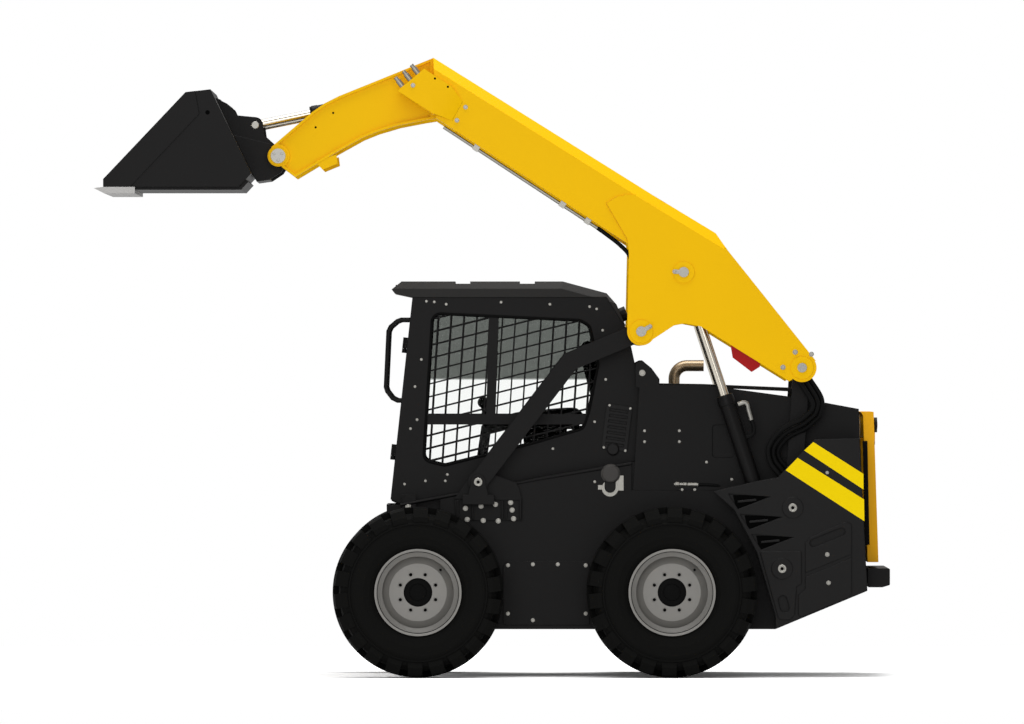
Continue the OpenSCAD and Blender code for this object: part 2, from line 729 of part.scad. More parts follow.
// Outer face of the beam, which the rear plates stand proud of
beam_face = arm_y - 8;
// Leg of the corner that is filled behind a chamfer
corner_leg = arm_chamfer + arm_t * sqrt(2);

module arm_rear_plate() {
    polygon(arm_rear_outline);
    translate(front_head) circle(r = 75);
    translate(rear_head) circle(r = 77);
}

module arm_leg() difference() {
    side(leg_in, leg_y) {
        polygon(leg_outline);
        translate(hinge_pin) circle(r = 56);
    }
    side(leg_in + arm_t, leg_y - leg_recess - arm_t) polygon(inset(leg_hollow, arm_t));
    // Recess between the flanges, up to the pin's boss
    side(leg_y - leg_recess, leg_y + 1) difference() {
        polygon(inset(leg_outline, 13));
        translate([400, 2000]) square([212, 1000]);
        translate(hinge_pin) circle(r = 62);
    }
}

module arm_half() {
    color(yellow) difference() {
        union() {
            // Box beam
            difference() {
                side(beam_in, beam_face) polygon(beam_outline);
                difference() {
                    side(beam_in + arm_t, beam_face - arm_t) polygon(inset(beam_outline, arm_t));
                    chamfer_cut(beam_outline[1], beam_outline[0], beam_face, corner_leg);
                }
            }
            // Rear plates and the cover along their top, with its filled corner
            side(arm_y - arm_t, arm_y) arm_rear_plate();
            side(arm_in, arm_in + arm_t) arm_rear_plate();
            side(arm_in, arm_y)
                polygon([[-420, 2118], [-575, 2116], [-910, 1913], [-974, 1821], [-1200, 1538], [-1190, 1530],
                         [-963, 1813], [-902, 1903], [-572, 2102], [-420, 2104]]);
            intersection() {
                side(arm_y - 2 * arm_chamfer, arm_y) polygon(arm_rear_outline);
                chamfer_cut(arm_ridge[0], arm_ridge[1], arm_y, corner_leg);
            }
            // Leg down to the bucket and the knee that joins it to the beam
            arm_leg();
            difference() {
                side(leg_y - 1, beam_in + 1) polygon(knee_outline);
                side(leg_y - 2, beam_in + 2) polygon([[570, 2805], [490, 2755], [500, 2500], [560, 2540]]);
            }
            side(leg_y - leg_recess - 1, beam_face - 12) polygon(rounded(knee_block, 10));
            side(leg_y - leg_recess - 1, leg_y - 2) polygon(coupler_tab);
            // Pins at the links, stubs beside the lift rod's eye and their round seats
            across(front_head, arm_in, arm_y + 6, pin_r);
            across(rear_head, arm_in, arm_y + 6, pin_r);
            across(front_head, arm_y - 1, arm_y + 6, 62);
            across(rear_head, arm_y - 1, arm_y + 6, 60);
            across(lift_head, arm_in, lift_y - 32, 34);
            across(lift_head, lift_y + 32, arm_y + 6, 34);
            across(lift_head, arm_y - 1, arm_y + 6, 57);
            // Pin of the bucket
            across(hinge_pin, leg_in - 34, leg_y + 6, pin_r);
            across(hinge_pin, leg_y - 1, leg_y + 8, 50);
        }
        chamfer_cut(beam_outline[1], beam_outline[0], beam_face, arm_chamfer);
        chamfer_cut(arm_ridge[0], arm_ridge[1], arm_y, arm_chamfer);
    }
}

module arm_left() arm_half();

module arm_right() mirror([0, 1, 0]) arm_half();

knee_tube = [663, 2733];
front_tube = [1144, 2407];

module arm_cross() {
    color(yellow) {
        across(knee_tube, -leg_in, leg_in, cross_r);
        across(front_tube, -leg_in, leg_in, cross_r);
        both() {
            for (y = [tilt_y - tilt_barrel_r - 20, tilt_y + tilt_barrel_r + 6]) side(y, y + 14) {
                bar2d(knee_tube, tilt_foot, 90);
                translate(tilt_foot) circle(r = 45);
            }
            across(tilt_foot, tilt_y - tilt_barrel_r - 20, tilt_y + tilt_barrel_r + 20, 20);
        }
    }
}

coupler_r = 15;
line_r = 9;
line_way = way(beam_outline[3], beam_outline[2]);
line_clips = [250, 800, 960];

// A point along the underside of the left beam, d below it
function under_beam(s, d) = beam_outline[3] + s * line_way + d * left(line_way);

module aux_couplers() {
    // Couplers on the front of the knee's block
    color(silver) for (i = [0 : 2]) {
        p = knee_block[0] + (0.2 + 0.3 * i) * (knee_block[3] - knee_block[0]);
        u = -left(way(knee_block[0], knee_block[3]));
        rod(p - seam * u, p - 40 * u, leg_y + 90, coupler_r);
        rod(p - 39 * u, p - 62 * u, leg_y + 90, coupler_r - 4);
    }
    // Two steel lines below the beam with their clips
    color(silver) {
        for (y = [beam_in + 28, beam_in + 58]) rod(under_beam(60, 18), under_beam(1060, 18), y, line_r);
        for (s = line_clips) side(beam_in + 12, beam_in + 74)
            polygon([under_beam(s, seam), under_beam(s + 32, seam), under_beam(s + 32, 32), under_beam(s, 32)]);
    }
}

keeper_t = 6;

module pin_keepers() {
    color(silver) both() {
        side(arm_y + 6 + seam, arm_y + 6 + keeper_t) {
            slot2d(front_head, [-560, 1416], 22);
            translate(front_head) circle(r = 27);
        }
        side(arm_y + 6 + seam, arm_y + 6 + keeper_t) {
            slot2d(lift_head, [-690, 1708], 22);
            translate(lift_head) circle(r = 27);
        }
        across(rear_head, arm_y + 6 + seam, arm_y + 6 + keeper_t, pin_r);
        across(hinge_pin, leg_y + 8 + seam, leg_y + 8 + keeper_t, 39);
    }
}

module arm_lock() {
    color(red) side(arm_y - arm_t - 18, arm_y - arm_t)
        polygon([[-985, 1340], [-1150, 1240], [-1144, 1200], [-1101, 1173], [-1000, 1250]]);
}

// Bucket

module tilt_barrels() {
    color(black) both() difference() {
        union() {
            across(tilt_foot, tilt_y - 30, tilt_y + 30, 38);
            rod(toward(tilt_foot, tilt_head, 20), toward(tilt_foot, tilt_head, 515), tilt_y, tilt_barrel_r);
        }
        across(tilt_foot, tilt_y - 60, tilt_y + 60, 21);
        rod(toward(tilt_foot, tilt_head, 60), toward(tilt_foot, tilt_head, 520), tilt_y, tilt_rod_r + pin_gap);
    }
}

module tilt_rods() {
    span = norm(tilt_head - tilt_foot);
    color(silver) both() difference() {
        union() {
            rod(toward(tilt_foot, tilt_head, span - 508), toward(tilt_foot, tilt_head, span - 20), tilt_y,
                tilt_rod_r);
            across(tilt_head, tilt_y - 36, tilt_y + 36, 36);
        }
        across(tilt_head, tilt_y - 60, tilt_y + 60, 21);
    }
}

// Room between the coupler's ears and a tilt cylinder
ear_gap = 5;

// Rear face of the bucket, at z
function bucket_back(z) = 1562 + (z - 2228) * 209 / 431 - seam;

coupler_foot = [[1440, 2385], [1370, 2330], [1380, 2285], [1410, 2240], [1470, 2200], [1540, 2190],
                [1560, 2226], [bucket_back(2236), 2236]];
coupler_outline = concat([[bucket_back(2637), 2637], [1701, 2609], [1669, 2584], [1650, 2545], [1544, 2535],
                          [1508, 2500], [1500, 2440]], coupler_foot);
ear_in = tilt_barrel_r + ear_gap;

module coupler() {
    color(black) both() difference() {
        union() {
            for (y = [tilt_y - ear_in - 14, tilt_y + ear_in]) side(y, y + 14) {
                polygon(coupler_outline);
                translate(tilt_head) circle(r = 42);
            }
            side(leg_in - 34, leg_in - 8) {
                polygon(concat([[bucket_back(2440), 2440]], coupler_foot));
                translate(hinge_pin) circle(r = 52);
            }
        }
        across(tilt_head, tilt_y - 80, tilt_y + 80, 21);
        across(hinge_pin, 300, leg_in + 10, pin_r + pin_gap);
    }
    color(black) {
        side(-tilt_y - ear_in, tilt_y + ear_in)
            polygon([[bucket_back(2637), 2637], [1735, 2630], [1708, 2560], [bucket_back(2560), 2560]]);
        side(-leg_in + 8, leg_in - 8)
            polygon([[1470, 2200], [1540, 2190], [1560, 2226], [bucket_back(2236), 2236], [1480, 2236]]);
    }
}

bucket_section = [[2349, 2157], [2349, 2199], [1911, 2661], [1779, 2676], [1771, 2659], [1562, 2228],
                  [1629, 2157]];
cutter_outline = [[2349, 2157], [2349, 2199], [1911, 2661], [1860, 2667], [1838, 2545], [2206, 2157]];

module bucket_shell() {
    plate_y = bucket_half - cutter_t;
    color(black) {
        difference() {
            side(-plate_y, plate_y) polygon(bucket_section);
            side(-plate_y + bucket_t, plate_y - bucket_t)
                polygon([[2500, 2157 + bucket_t], [2500, 2800], [1830, 2800], [1790, 2659], [1577, 2224],
                         [1634, 2157 + bucket_t]]);
        }
        // Cutters along the sides and the wear plate round the heel
        both() side(plate_y - 1, bucket_half) polygon(cutter_outline);
        side(-plate_y + 30, plate_y - 30)
            polygon([[2179, 2160], [1634, 2160], [1594, 2200], [1578, 2184], [1616, 2142], [2179, 2142]]);
    }
}

module bucket_edge() {
    color(steel) difference() {
        side(-bucket_half, bucket_half) polygon([lip, [2349, 2157], [2180, 2157], [2180, 2122], [2342, 2122]]);
        for (i = [-3 : 3]) translate([2240, i * bucket_half / 4, 2100]) cylinder(r = 10, h = 80);
    }
}

// Doors and hood

hinge_r = 8;
hinge_gap = 0.5;
knuckle_r = 15;
rear_half = tub_half - 40;
rear_hinge = [-1772, 20 - tub_half];
rear_hinge_z = [280, 800];
hood_hinge = [-560, 1112];
hood_hinge_y = 300;
cab_hinge_out = 16;
cab_hinge_s = [120, 700];

door_top = toward(cab_front_top, cab_front_foot, 90);
door_foot = toward(cab_front_foot, cab_front_top, 110);
door_up = way(door_foot, door_top);
door_lean = atan2(door_up.x, door_up.y);

// A thing drawn about the front door's hinge line, a distance s above the door's foot
module at_cab_hinge(s) translate([door_foot.x, -door_half - 3, door_foot.y]) rotate([0, door_lean, 0])
    translate([cab_hinge_out, 0, s]) children();

module door_panel(inner) {
    d = door_up;
    n = [d.y, -d.x];
    side(-door_half + inner, door_half - inner)
        polygon([door_foot + d * inner, door_top - d * inner, door_top - d * inner - n * 30,
                 door_foot + d * inner - n * 30]);
}

module door_frame() {
    color(black) difference() {
        door_panel(0);
        translate([10, 0, 0]) door_panel(60);
        translate([-10, 0, 0]) door_panel(60);
    }
    // Hinge knuckles
    color(black) for (s = cab_hinge_s) at_cab_hinge(s) difference() {
        union() {
            cylinder(r = knuckle_r, h = 60);
            translate([-cab_hinge_out, 0, 0]) cube([cab_hinge_out, 50, 60]);
        }
        translate([0, 0, -1]) cylinder(r = hinge_r + hinge_gap, h = 62);
    }
}

module door_glass() {
    color(glass) intersection() {
        translate([-12, 0, 0]) side(-door_half, door_half)
            polygon([door_foot, door_top, door_top - [6, 0], door_foot - [6, 0]]);
        door_panel(60);
    }
}

grille_z = [420, 820];
grille_half = rear_half - 210;
slat_count = 9;

// Outer face of the rear door, at z
function door_face(z) = -1756 - (960 - z) * 26 / 803;

module rear_door() {
    color(yellow) difference() {
        side(-rear_half, rear_half)
            polygon([[-1686, 960], [-1756, 960], [-1782, 157], [-1724, 157], [-1700, 940]]);
        translate([-1900, -grille_half, grille_z[0]])
            cube([300, 2 * grille_half, grille_z[1] - grille_z[0]]);
    }
    // Hinge knuckles
    color(yellow) for (z = rear_hinge_z) translate([rear_hinge.x, rear_hinge.y, z]) difference() {
        union() {
            cylinder(r = knuckle_r, h = 60);
            translate([-6, 0, 0]) cube([20, 40, 60]);
        }
        translate([0, 0, -1]) cylinder(r = hinge_r + hinge_gap, h = 62);
    }
}

module rear_grille() {
    step = (grille_z[1] - grille_z[0]) / (slat_count + 1);
    foot = door_face(grille_z[0]);
    head = door_face(grille_z[1]);
    color(black) {
        // Slats and the posts that carry them
        for (i = [1 : slat_count]) let (z = grille_z[0] + i * step)
            side(seam - grille_half, grille_half - seam)
            polygon([[door_face(z) + 4, z], [door_face(z) + 34, z + 12], [door_face(z) + 34, z + 20],
                     [door_face(z) + 4, z + 8]]);
        for (y = [-grille_half / 3, grille_half / 3]) side(y - 6, y + 6)
            polygon([[foot + 18, grille_z[0] + seam], [foot + 40, grille_z[0] + seam],
                     [head + 40, grille_z[1] - seam], [head + 18, grille_z[1] - seam]]);
        // Housings of the rear lamps
        both() difference() {
            rod([door_face(890) - 1.5, 890], [door_face(890) - 18, 890], rear_half - 90, 40);
            rod([door_face(890) - 12, 890], [door_face(890) - 22, 890], rear_half - 90, 35);
        }
    }
}

module hood() {
    color(black) {
        difference() {
            side(-hood_half, hood_half)
                polygon([[-590, 1112], [-590, 1098], [-851, 1090], [-1400, 1065], [-1500, 985], [-1664, 955],
                         [-1664, 967], [-1508, 997], [-1404, 1085], [-851, 1108]]);
            // Louvres
            both() for (i = [0 : 6]) translate([-980 - 52 * i, 90, 1000]) cube([22, hood_half - 170, 200]);
        }
        // Hinge knuckles
        both() difference() {
            side(hood_hinge_y - 28, hood_hinge_y + 28) {
                translate(hood_hinge) circle(r = knuckle_r);
                polygon([[-560, 1099], [-560, 1112], [-600, 1112], [-600, 1099]]);
            }
            across(hood_hinge, hood_hinge_y - 50, hood_hinge_y + 50, hinge_r + hinge_gap);
        }
    }
}

// Wheels

lug_root = tyre_r - lug_h;
bead_r = rim_r - 10;
tyre_half = tyre_w / 2;

// Half of a tyre's carcass, from the bead over the sidewall's rib to the tread, as [radius, width]
carcass = [[bead_r, tyre_half - 48], [rim_r + 4, tyre_half - 42], [rim_r + 26, tyre_half - 20],
           [bead_r + 70, tyre_half - 6], [bead_r + 118, tyre_half - 3], [lug_root - 62, tyre_half - 7],
           [lug_root - 59, tyre_half - 1], [lug_root - 51, tyre_half - 2], [lug_root - 47, tyre_half - 11],
           [lug_root - 30, tyre_half - 16], [lug_root - 8, tyre_half - 44], [lug_root, tyre_half - 90]];
carcass_in = [[lug_root - 30, tyre_half - 80], [lug_root - 60, tyre_half - 40], [bead_r + 70, tyre_half - 36],
              [bead_r, tyre_half - 74]];

// A list of points turned round and mirrored to the other half
function other(p) = [for (i = [len(p) - 1 : -1 : 0]) [p[i].x, -p[i].y]];

module tyre_section() polygon(concat(carcass, other(carcass), other(carcass_in), carcass_in));

// Envelope of the tread as [radius, width]
module tread_section() {
    half = [[lug_root - 50, tyre_half - 16], [lug_root - 48, tyre_half - 6], [lug_root - 20, tyre_half],
            [tyre_r - 14, tyre_half - 22], [tyre_r - 3, tyre_half - 70], [tyre_r, 0.5]];
    polygon(concat(half, other(half)));
}

module tyre() {
    pitch = 360 / lug_count;
    arcw = tyre_r * pitch * PI / 180;
    color(black) {
        rotate_extrude($fn = 96) tyre_section();
        intersection() {
            rotate_extrude($fn = 96) tread_section();
            for (i = [0 : lug_count - 1], s = [0, 1])
                rotate(i * pitch + s * pitch / 2 - 90) mirror([0, 0, s]) rotate([0, 90, 0])
                    translate([0, 0, lug_root - 72]) linear_extrude(tyre_r)
                    polygon([[20, -0.26 * arcw], [20, 0.26 * arcw], [-tyre_half * 0.5, 0.34 * arcw - 20],
                             [-tyre_half - 5, 0.34 * arcw - 20], [-tyre_half - 5, -0.26 * arcw - 20],
                             [-tyre_half * 0.5, -0.26 * arcw - 20]]);
        }
    }
}

disc_r = rim_r * 0.66;
well_r = rim_r * 0.823;

module wheel() {
    h = tyre_half - 34;
    color(silver) difference() {
        rotate_extrude($fn = 72)
            polygon([[rim_r, h], [rim_r, h - 6], [bead_r, h - 9], [bead_r, h - 56], [well_r + 9, h - 71],
                     [well_r + 9, 71 - h], [bead_r, 56 - h], [bead_r, 9 - h], [rim_r, 6 - h], [rim_r, -h],
                     [rim_r - 8, -h], [bead_r - 8, 6 - h], [bead_r - 8, 51 - h], [well_r, 67 - h], [well_r, 24],
                     [disc_r, 48], [wheel_bore_r, 48], [wheel_bore_r, 60], [disc_r, 60], [well_r, 36],
                     [well_r, h - 67], [bead_r - 8, h - 51], [bead_r - 8, h - 6], [rim_r - 8, h]]);
        for (i = [0 : 7]) rotate(i * 45 + 22.5) translate([wheel_pcd / 2, 0, 40])
            cylinder(r = wheel_hole_r, h = 30, $fn = 24);
    }
}

// Sets a wheel, drawn about z, at a corner of the frame
module corner(x, s) translate([x, s * tyre_y, 0]) rotate([-90 * s, 0, 0]) children();

module tyre_front_left() corner(axle_x, 1) tyre();
module tyre_front_right() corner(axle_x, -1) tyre();
module tyre_rear_left() corner(-axle_x, 1) tyre();
module tyre_rear_right() corner(-axle_x, -1) tyre();
module wheel_front_left() corner(axle_x, 1) wheel();
module wheel_front_right() corner(axle_x, -1) wheel();
module wheel_rear_left() corner(-axle_x, 1) wheel();
module wheel_rear_right() corner(-axle_x, -1) wheel();

place() {
    chassis_tub();
    frame_uprights();
    link_brackets();
    axle_stubs();
    engine_block();
    rear_pods();
    rear_bumper();
    exhaust_pipe();
    fuel_filler();
    cab_sides();
    cab_rear();
    cab_floor();
    cab_roof();
    side_windows();
    window_screens();
    air_inlets();
    rear_window();
    seat();
    control_towers();
    grab_handles();
    work_lamps();
    front_links();
    arm_left();
    arm_right();
    arm_cross();
    aux_couplers();
    pin_keepers();
    arm_lock();
    rear_links();
    hydraulic_hoses();
    lift_barrels();
    lift_rods();
    tilt_barrels();
    tilt_rods();
    coupler();
    bucket_shell();
    bucket_edge();
    door_frame();
    door_glass();
    rear_door();
    rear_grille();
    hood();
    tyre_front_left();
    tyre_front_right();
    tyre_rear_left();
    tyre_rear_right();
    wheel_front_left();
    wheel_front_right();
    wheel_rear_left();
    wheel_rear_right();
}
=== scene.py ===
# %% [markdown]
# # A skid steer loader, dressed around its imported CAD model
# The CAD step has made every part with a real shape and size. This lesson loads that model as a fixed
# frame, gives each part the finish of the real material, and adds what is too small for the CAD model:
# bolts, nuts, seals, weld beads, hoses, fittings, lenses and cushions.

# %% Load the frame
import json
import math

import bpy
import numpy as np
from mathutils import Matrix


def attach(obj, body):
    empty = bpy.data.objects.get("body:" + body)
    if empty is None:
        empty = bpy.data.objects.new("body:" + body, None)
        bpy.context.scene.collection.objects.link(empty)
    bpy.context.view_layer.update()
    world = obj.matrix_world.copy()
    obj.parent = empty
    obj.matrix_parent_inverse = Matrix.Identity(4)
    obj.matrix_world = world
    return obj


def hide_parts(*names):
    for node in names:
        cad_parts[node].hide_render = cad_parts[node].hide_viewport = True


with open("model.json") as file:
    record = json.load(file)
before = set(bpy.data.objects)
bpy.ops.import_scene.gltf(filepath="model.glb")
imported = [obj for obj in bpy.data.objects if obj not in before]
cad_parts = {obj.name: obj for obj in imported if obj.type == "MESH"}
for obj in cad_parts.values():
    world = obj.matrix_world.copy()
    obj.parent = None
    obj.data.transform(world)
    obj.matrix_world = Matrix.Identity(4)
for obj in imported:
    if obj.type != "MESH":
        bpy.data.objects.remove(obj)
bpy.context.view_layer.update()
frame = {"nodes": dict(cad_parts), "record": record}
nodes = frame["nodes"]

# %% [markdown]
# ## Places
# The CAD source counts x from the middle of the wheelbase and z from the axles, in millimetres. One
# function turns such a place into metres in the shared frame, so that the numbers here can be read beside
# the source. The y values are the planes of its faces. Other functions give places on a circle, and the
# same places on the left and on the right.

# %% Places
MID_X, AXLE_Z, AXLE_X = 279.0, 455.0, 676.0
CAB_Y, TUB_Y, POD_Y, ARM_Y, BEAM_Y, LEG_Y, WHEEL_Y = 494.0, 580.0, 774.0, 780.0, 772.0, 608.0, 797.0
LIFT_Y, TILT_Y, TILT_EAR_Y, BRACKET_Y, LINK_PIN_Y, BUCKET_Y = 700.0, 430.0, 487.0, 596.0, 674.0, 980.0
SIDES = (1, -1)
HANDS = (("left", 1), ("right", -1))


def place(points):
    """Millimetres about the wheelbase and the axles, as metres in the shared frame."""
    return (np.asarray(points, float) + (-MID_X, 0.0, AXLE_Z)) / 1000


def at(y, pairs):
    """A list of (x, z) pairs as points in the plane y."""
    pairs = np.asarray(pairs, float)
    return np.stack([pairs[:, 0], np.full(len(pairs), float(y)), pairs[:, 1]], axis=1)


def round_of(centre, radius, angles):
    """Pairs (x, z) on a circle: the centre plus the radius times cosine and sine of each angle."""
    return np.asarray(centre, float) + radius * np.stack([np.cos(angles), np.sin(angles)], axis=1)


def both(points):
    """Points on the left side, then the same points on the right side."""
    points = np.asarray(points, float)
    return np.concatenate([points, points * (1, -1, 1)])


print("front axle at", place([[AXLE_X, 0, 0]])[0])

# %% [markdown]
# ## Camera
# The photo is taken from the machine's left, level, from far away with a long lens, so that almost no
# perspective shows. The frame is 1024 points wide and one point is 5.32 mm at the wheels.

# %% Camera
MM_PER_POINT, DISTANCE, SENSOR, NEAR_SIDE = 5.32, 90.0, 36.0, 0.9
PICTURE_WIDTH, PICTURE_MIDDLE, ORIGIN_POINT = 1024, (512, 362), (545, 592.5)
frame_width = PICTURE_WIDTH * MM_PER_POINT / 1000
camera_data = bpy.data.cameras.new("photo_camera")
camera_data.sensor_width = SENSOR
camera_data.lens = SENSOR * DISTANCE / frame_width
camera_data.clip_end = 300
camera = bpy.data.objects.new("photo_camera", camera_data)
bpy.context.scene.collection.objects.link(camera)
shift = np.subtract(ORIGIN_POINT, PICTURE_MIDDLE) * MM_PER_POINT
middle = place([[shift[0], 0, shift[1]]])[0]
camera.location = (middle[0], NEAR_SIDE + DISTANCE, middle[2])
camera.rotation_euler = (math.pi / 2, 0, math.pi)
bpy.context.scene.camera = camera
print("lens", round(camera_data.lens, 1), "mm at", DISTANCE, "m")

# %% [markdown]
# ## Materials
# Each finish starts from the real one: powder coat on steel, gloss enamel, moulded polymer, rubber, hard
# chrome, zinc plate. Colours are written as sRGB hex values and turned to linear ones by one function,
# and one small function adds a shader node to a cleared tree.

# %% Colour and node helpers
DRIFT_MM = 500

def linear(code, alpha=1.0):
    """sRGB hex to linear: c / 12.92 below 0.04045, else ((c + 0.055) / 1.055) to the power 2.4."""
    parts = [int(code[i : i + 2], 16) / 255 for i in (1, 3, 5)]
    return tuple(c / 12.92 if c <= 0.04045 else ((c + 0.055) / 1.055) ** 2.4 for c in parts) + (alpha,)


def cleared(owner):
    """The node tree of a material or world, switched on and emptied."""
    owner.use_nodes = True
    owner.node_tree.nodes.clear()
    return owner.node_tree


def add(tree, kind, settings=None, links=None):
    """Adds one node, sets its properties and sockets, and links other nodes' outputs to its inputs."""
    node = tree.nodes.new(kind)
    for key, value in (settings or {}).items():
        if isinstance(key, str) and key not in node.inputs:
            setattr(node, key, value)
        else:
            node.inputs[key].default_value = value
    for key, source in (links or {}).items():
        tree.links.new(source, node.inputs[key])
    return node


def finish_of(name, colour, roughness, metallic=0.0, grain_mm=2.0, grain=0.05, drift=0.1, edge_mm=2.0,
              **sockets):
    """A surface whose colour drifts over DRIFT_MM, with a bump of grain_mm and edges rounded by edge_mm."""
    material = bpy.data.materials.new(name)
    tree = cleared(material)
    spot = add(tree, "ShaderNodeTexCoord").outputs["Object"]
    wide = {"Scale": 1000 / DRIFT_MM, "Detail": 3.0}
    slow = add(tree, "ShaderNodeTexNoise", wide, {"Vector": spot}).outputs["Fac"]
    base = linear(colour)
    low = tuple(c * (1 - drift) for c in base[:3]) + (1,)
    high = tuple(min(1, c * (1 + drift)) for c in base[:3]) + (1,)
    tint = add(tree, "ShaderNodeMix", {"data_type": "RGBA", 6: low, 7: high}, {"Factor": slow})
    fine = add(tree, "ShaderNodeTexNoise", {"Scale": 1000 / grain_mm, "Detail": 2.0}, {"Vector": spot})
    edges = add(tree, "ShaderNodeBevel", {"samples": 4, "Radius": edge_mm / 1000})
    bump = add(tree, "ShaderNodeBump", {"Strength": grain, "Distance": grain_mm / 1000},
               {"Height": fine.outputs["Fac"], "Normal": edges.outputs["Normal"]})
    shine = add(tree, "ShaderNodeMapRange", {"To Min": roughness * 0.9, "To Max": min(1, roughness * 1.1)},
                {"Value": slow})
    shader = add(tree, "ShaderNodeBsdfPrincipled", {"Metallic": metallic, **sockets},
                 {"Base Color": tint.outputs[2], "Roughness": shine.outputs["Result"],
                  "Normal": bump.outputs["Normal"]})
    add(tree, "ShaderNodeOutputMaterial", None, {"Surface": shader.outputs["BSDF"]})
    return material


# %% [markdown]
# The paints are powder coats: the yellow is a gloss coat with a slight orange peel about 6 mm long, the
# black is a satin coat with a fine grain. Plastic panels have a moulded grain, drawn here as coarse as it
# needs to show.

# %% Finishes
SATIN, POLYMER, DULL = ({"Specular IOR Level": level} for level in (0.13, 0.17, 0.05))
MOULDED = {"grain_mm": 2.5, "grain": 0.1, **POLYMER}
yellow_enamel = finish_of("yellow_gloss_powder_coat", "#edb903", 0.34, grain_mm=6, grain=0.02, drift=0.03,
                          **DULL)
black_coat = finish_of("black_satin_powder_coat", "#0c0b0b", 0.42, grain_mm=3, grain=0.06, edge_mm=5, **SATIN)
black_plastic = finish_of("black_moulded_polymer", "#0d0c0c", 0.45, edge_mm=8, **MOULDED)
roof_plastic = finish_of("dark_grey_moulded_roof", "#201f1e", 0.5, edge_mm=6, **MOULDED)
cap_plastic = finish_of("filler_cap_plastic", "#3f3d3b", 0.5, edge_mm=6, **MOULDED)
tyre_rubber = finish_of("carbon_black_rubber", "#0e0e0d", 0.7, grain_mm=3, grain=0.15, **DULL)
hose_rubber = finish_of("hose_cover_rubber", "#101010", 0.5, grain_mm=2, grain=0.1, **DULL)
wheel_paint = finish_of("silver_wheel_paint", "#807e7a", 0.45, metallic=0.25, grain_mm=2, grain=0.05)
hard_chrome = finish_of("hard_chrome_rod", "#cfc8ba", 0.16, metallic=1.0, grain_mm=1.5, grain=0.01)
zinc_plate = finish_of("zinc_plated_steel", "#96948e", 0.35, metallic=0.9, grain_mm=1.5, edge_mm=1)
worn_steel = finish_of("worn_blade_steel", "#9c9b99", 0.4, metallic=0.7, grain_mm=4, grain=0.12)
exhaust_steel = finish_of("heat_stained_exhaust_steel", "#a8967c", 0.35, metallic=0.8, grain_mm=4, grain=0.1)
red_enamel = finish_of("red_gloss_enamel", "#9c0a0a", 0.35, grain_mm=6, grain=0.02, **SATIN)
cast_metal = finish_of("rough_cast_iron", "#2c2c2b", 0.7, metallic=0.3, grain_mm=4, grain=0.3)
seat_vinyl = finish_of("black_seat_vinyl", "#141313", 0.6, grain_mm=2, grain=0.2, **SATIN)
amber_cover = finish_of("yellow_moulded_cover", "#ecab08", 0.4, grain_mm=3, grain=0.03, drift=0.04, **SATIN)
stripe_film = finish_of("yellow_warning_film", "#f0d000", 0.4, grain_mm=4, grain=0.01, drift=0.02,
                        edge_mm=0.3, **DULL)
seal_rubber = finish_of("black_seal_rubber", "#0b0b0b", 0.6, grain_mm=2, grain=0.05, **DULL)
# Painted shade: a near-black matt finish set where holes, louvres and lug holes are dark inside.
painted_shade_black = finish_of("painted_shade_finish", "#030303", 0.9, grain_mm=3, grain=0.0, **DULL)
bare_weld = finish_of("painted_weld_bead", "#e0a804", 0.4, grain_mm=3, grain=0.1, drift=0.06,
                      edge_mm=0.5, **SATIN)
red_lens = finish_of("red_lamp_lens", "#a80c08", 0.15, grain_mm=8, grain=0.15, edge_mm=1)
clear_lens = finish_of("clear_lamp_lens", "#d9dad8", 0.1, grain_mm=8, grain=0.2, edge_mm=1)


def pane_of(name, low, high, from_z, to_z):
    """Clear sheet that the light passes straight through, its colour going from low below to high above
    between two heights.
    """
    material = bpy.data.materials.new(name)
    tree = cleared(material)
    spot = add(tree, "ShaderNodeTexCoord").outputs["Object"]
    height = add(tree, "ShaderNodeSeparateXYZ", None, {"Vector": spot}).outputs["Z"]
    part = add(tree, "ShaderNodeMapRange", {"From Min": from_z, "From Max": to_z}, {"Value": height})
    tint = add(tree, "ShaderNodeMix", {"data_type": "RGBA", 6: linear(low), 7: linear(high)},
               {"Factor": part.outputs["Result"]})
    shader = add(tree, "ShaderNodeBsdfPrincipled",
                 {"Roughness": 0.0, "IOR": 1.03, "Transmission Weight": 1.0}, {"Base Color": tint.outputs[2]})
    add(tree, "ShaderNodeOutputMaterial", None, {"Surface": shader.outputs["BSDF"]})
    return material


# The side panes are near white below and grey above, changing between 1.583 and 1.595 m.
side_pane = pane_of("polycarbonate_grey_above", "#fbfcfb", "#9fa29f", 1.583, 1.595)
clear_pane = pane_of("clear_safety_glass", "#f2f4f3", "#f2f4f3", 0.0, 1.0)
FINISH = {
    "black_paint": black_coat, "black_plastic": black_plastic, "yellow_paint": yellow_enamel,
    "grey_paint": black_coat, "cast_iron": cast_metal, "chrome": hard_chrome, "glass": clear_pane,
    "seat_vinyl": seat_vinyl, "brushed_steel": zinc_plate, "red_paint": red_enamel,
    "tyre_rubber": tyre_rubber, "hose_rubber": hose_rubber, "silver_paint": wheel_paint,
}
BY_NODE = {"cab_roof": roof_plastic, "bucket_edge": worn_steel, "rear_door": amber_cover,
           "side_windows": side_pane, "exhaust_pipe": exhaust_steel, "fuel_filler": cap_plastic}
slots = {row["node"]: row["material_slot"] for row in frame["record"]["subparts"]}
for name, node in nodes.items():
    node.data.materials.clear()
    node.data.materials.append(BY_NODE.get(name, FINISH[slots[name]]))
print("finishes:", len(FINISH) + len(BY_NODE))

# %% [markdown]
# ## Floor and light
# The photo is a studio picture on white. A wide floor takes the soft shadow, the sky is white where the
# camera sees it, also through glass, and two large soft lamps light the machine from above and from the
# camera's side, at a level where a colour shows about as it is written.

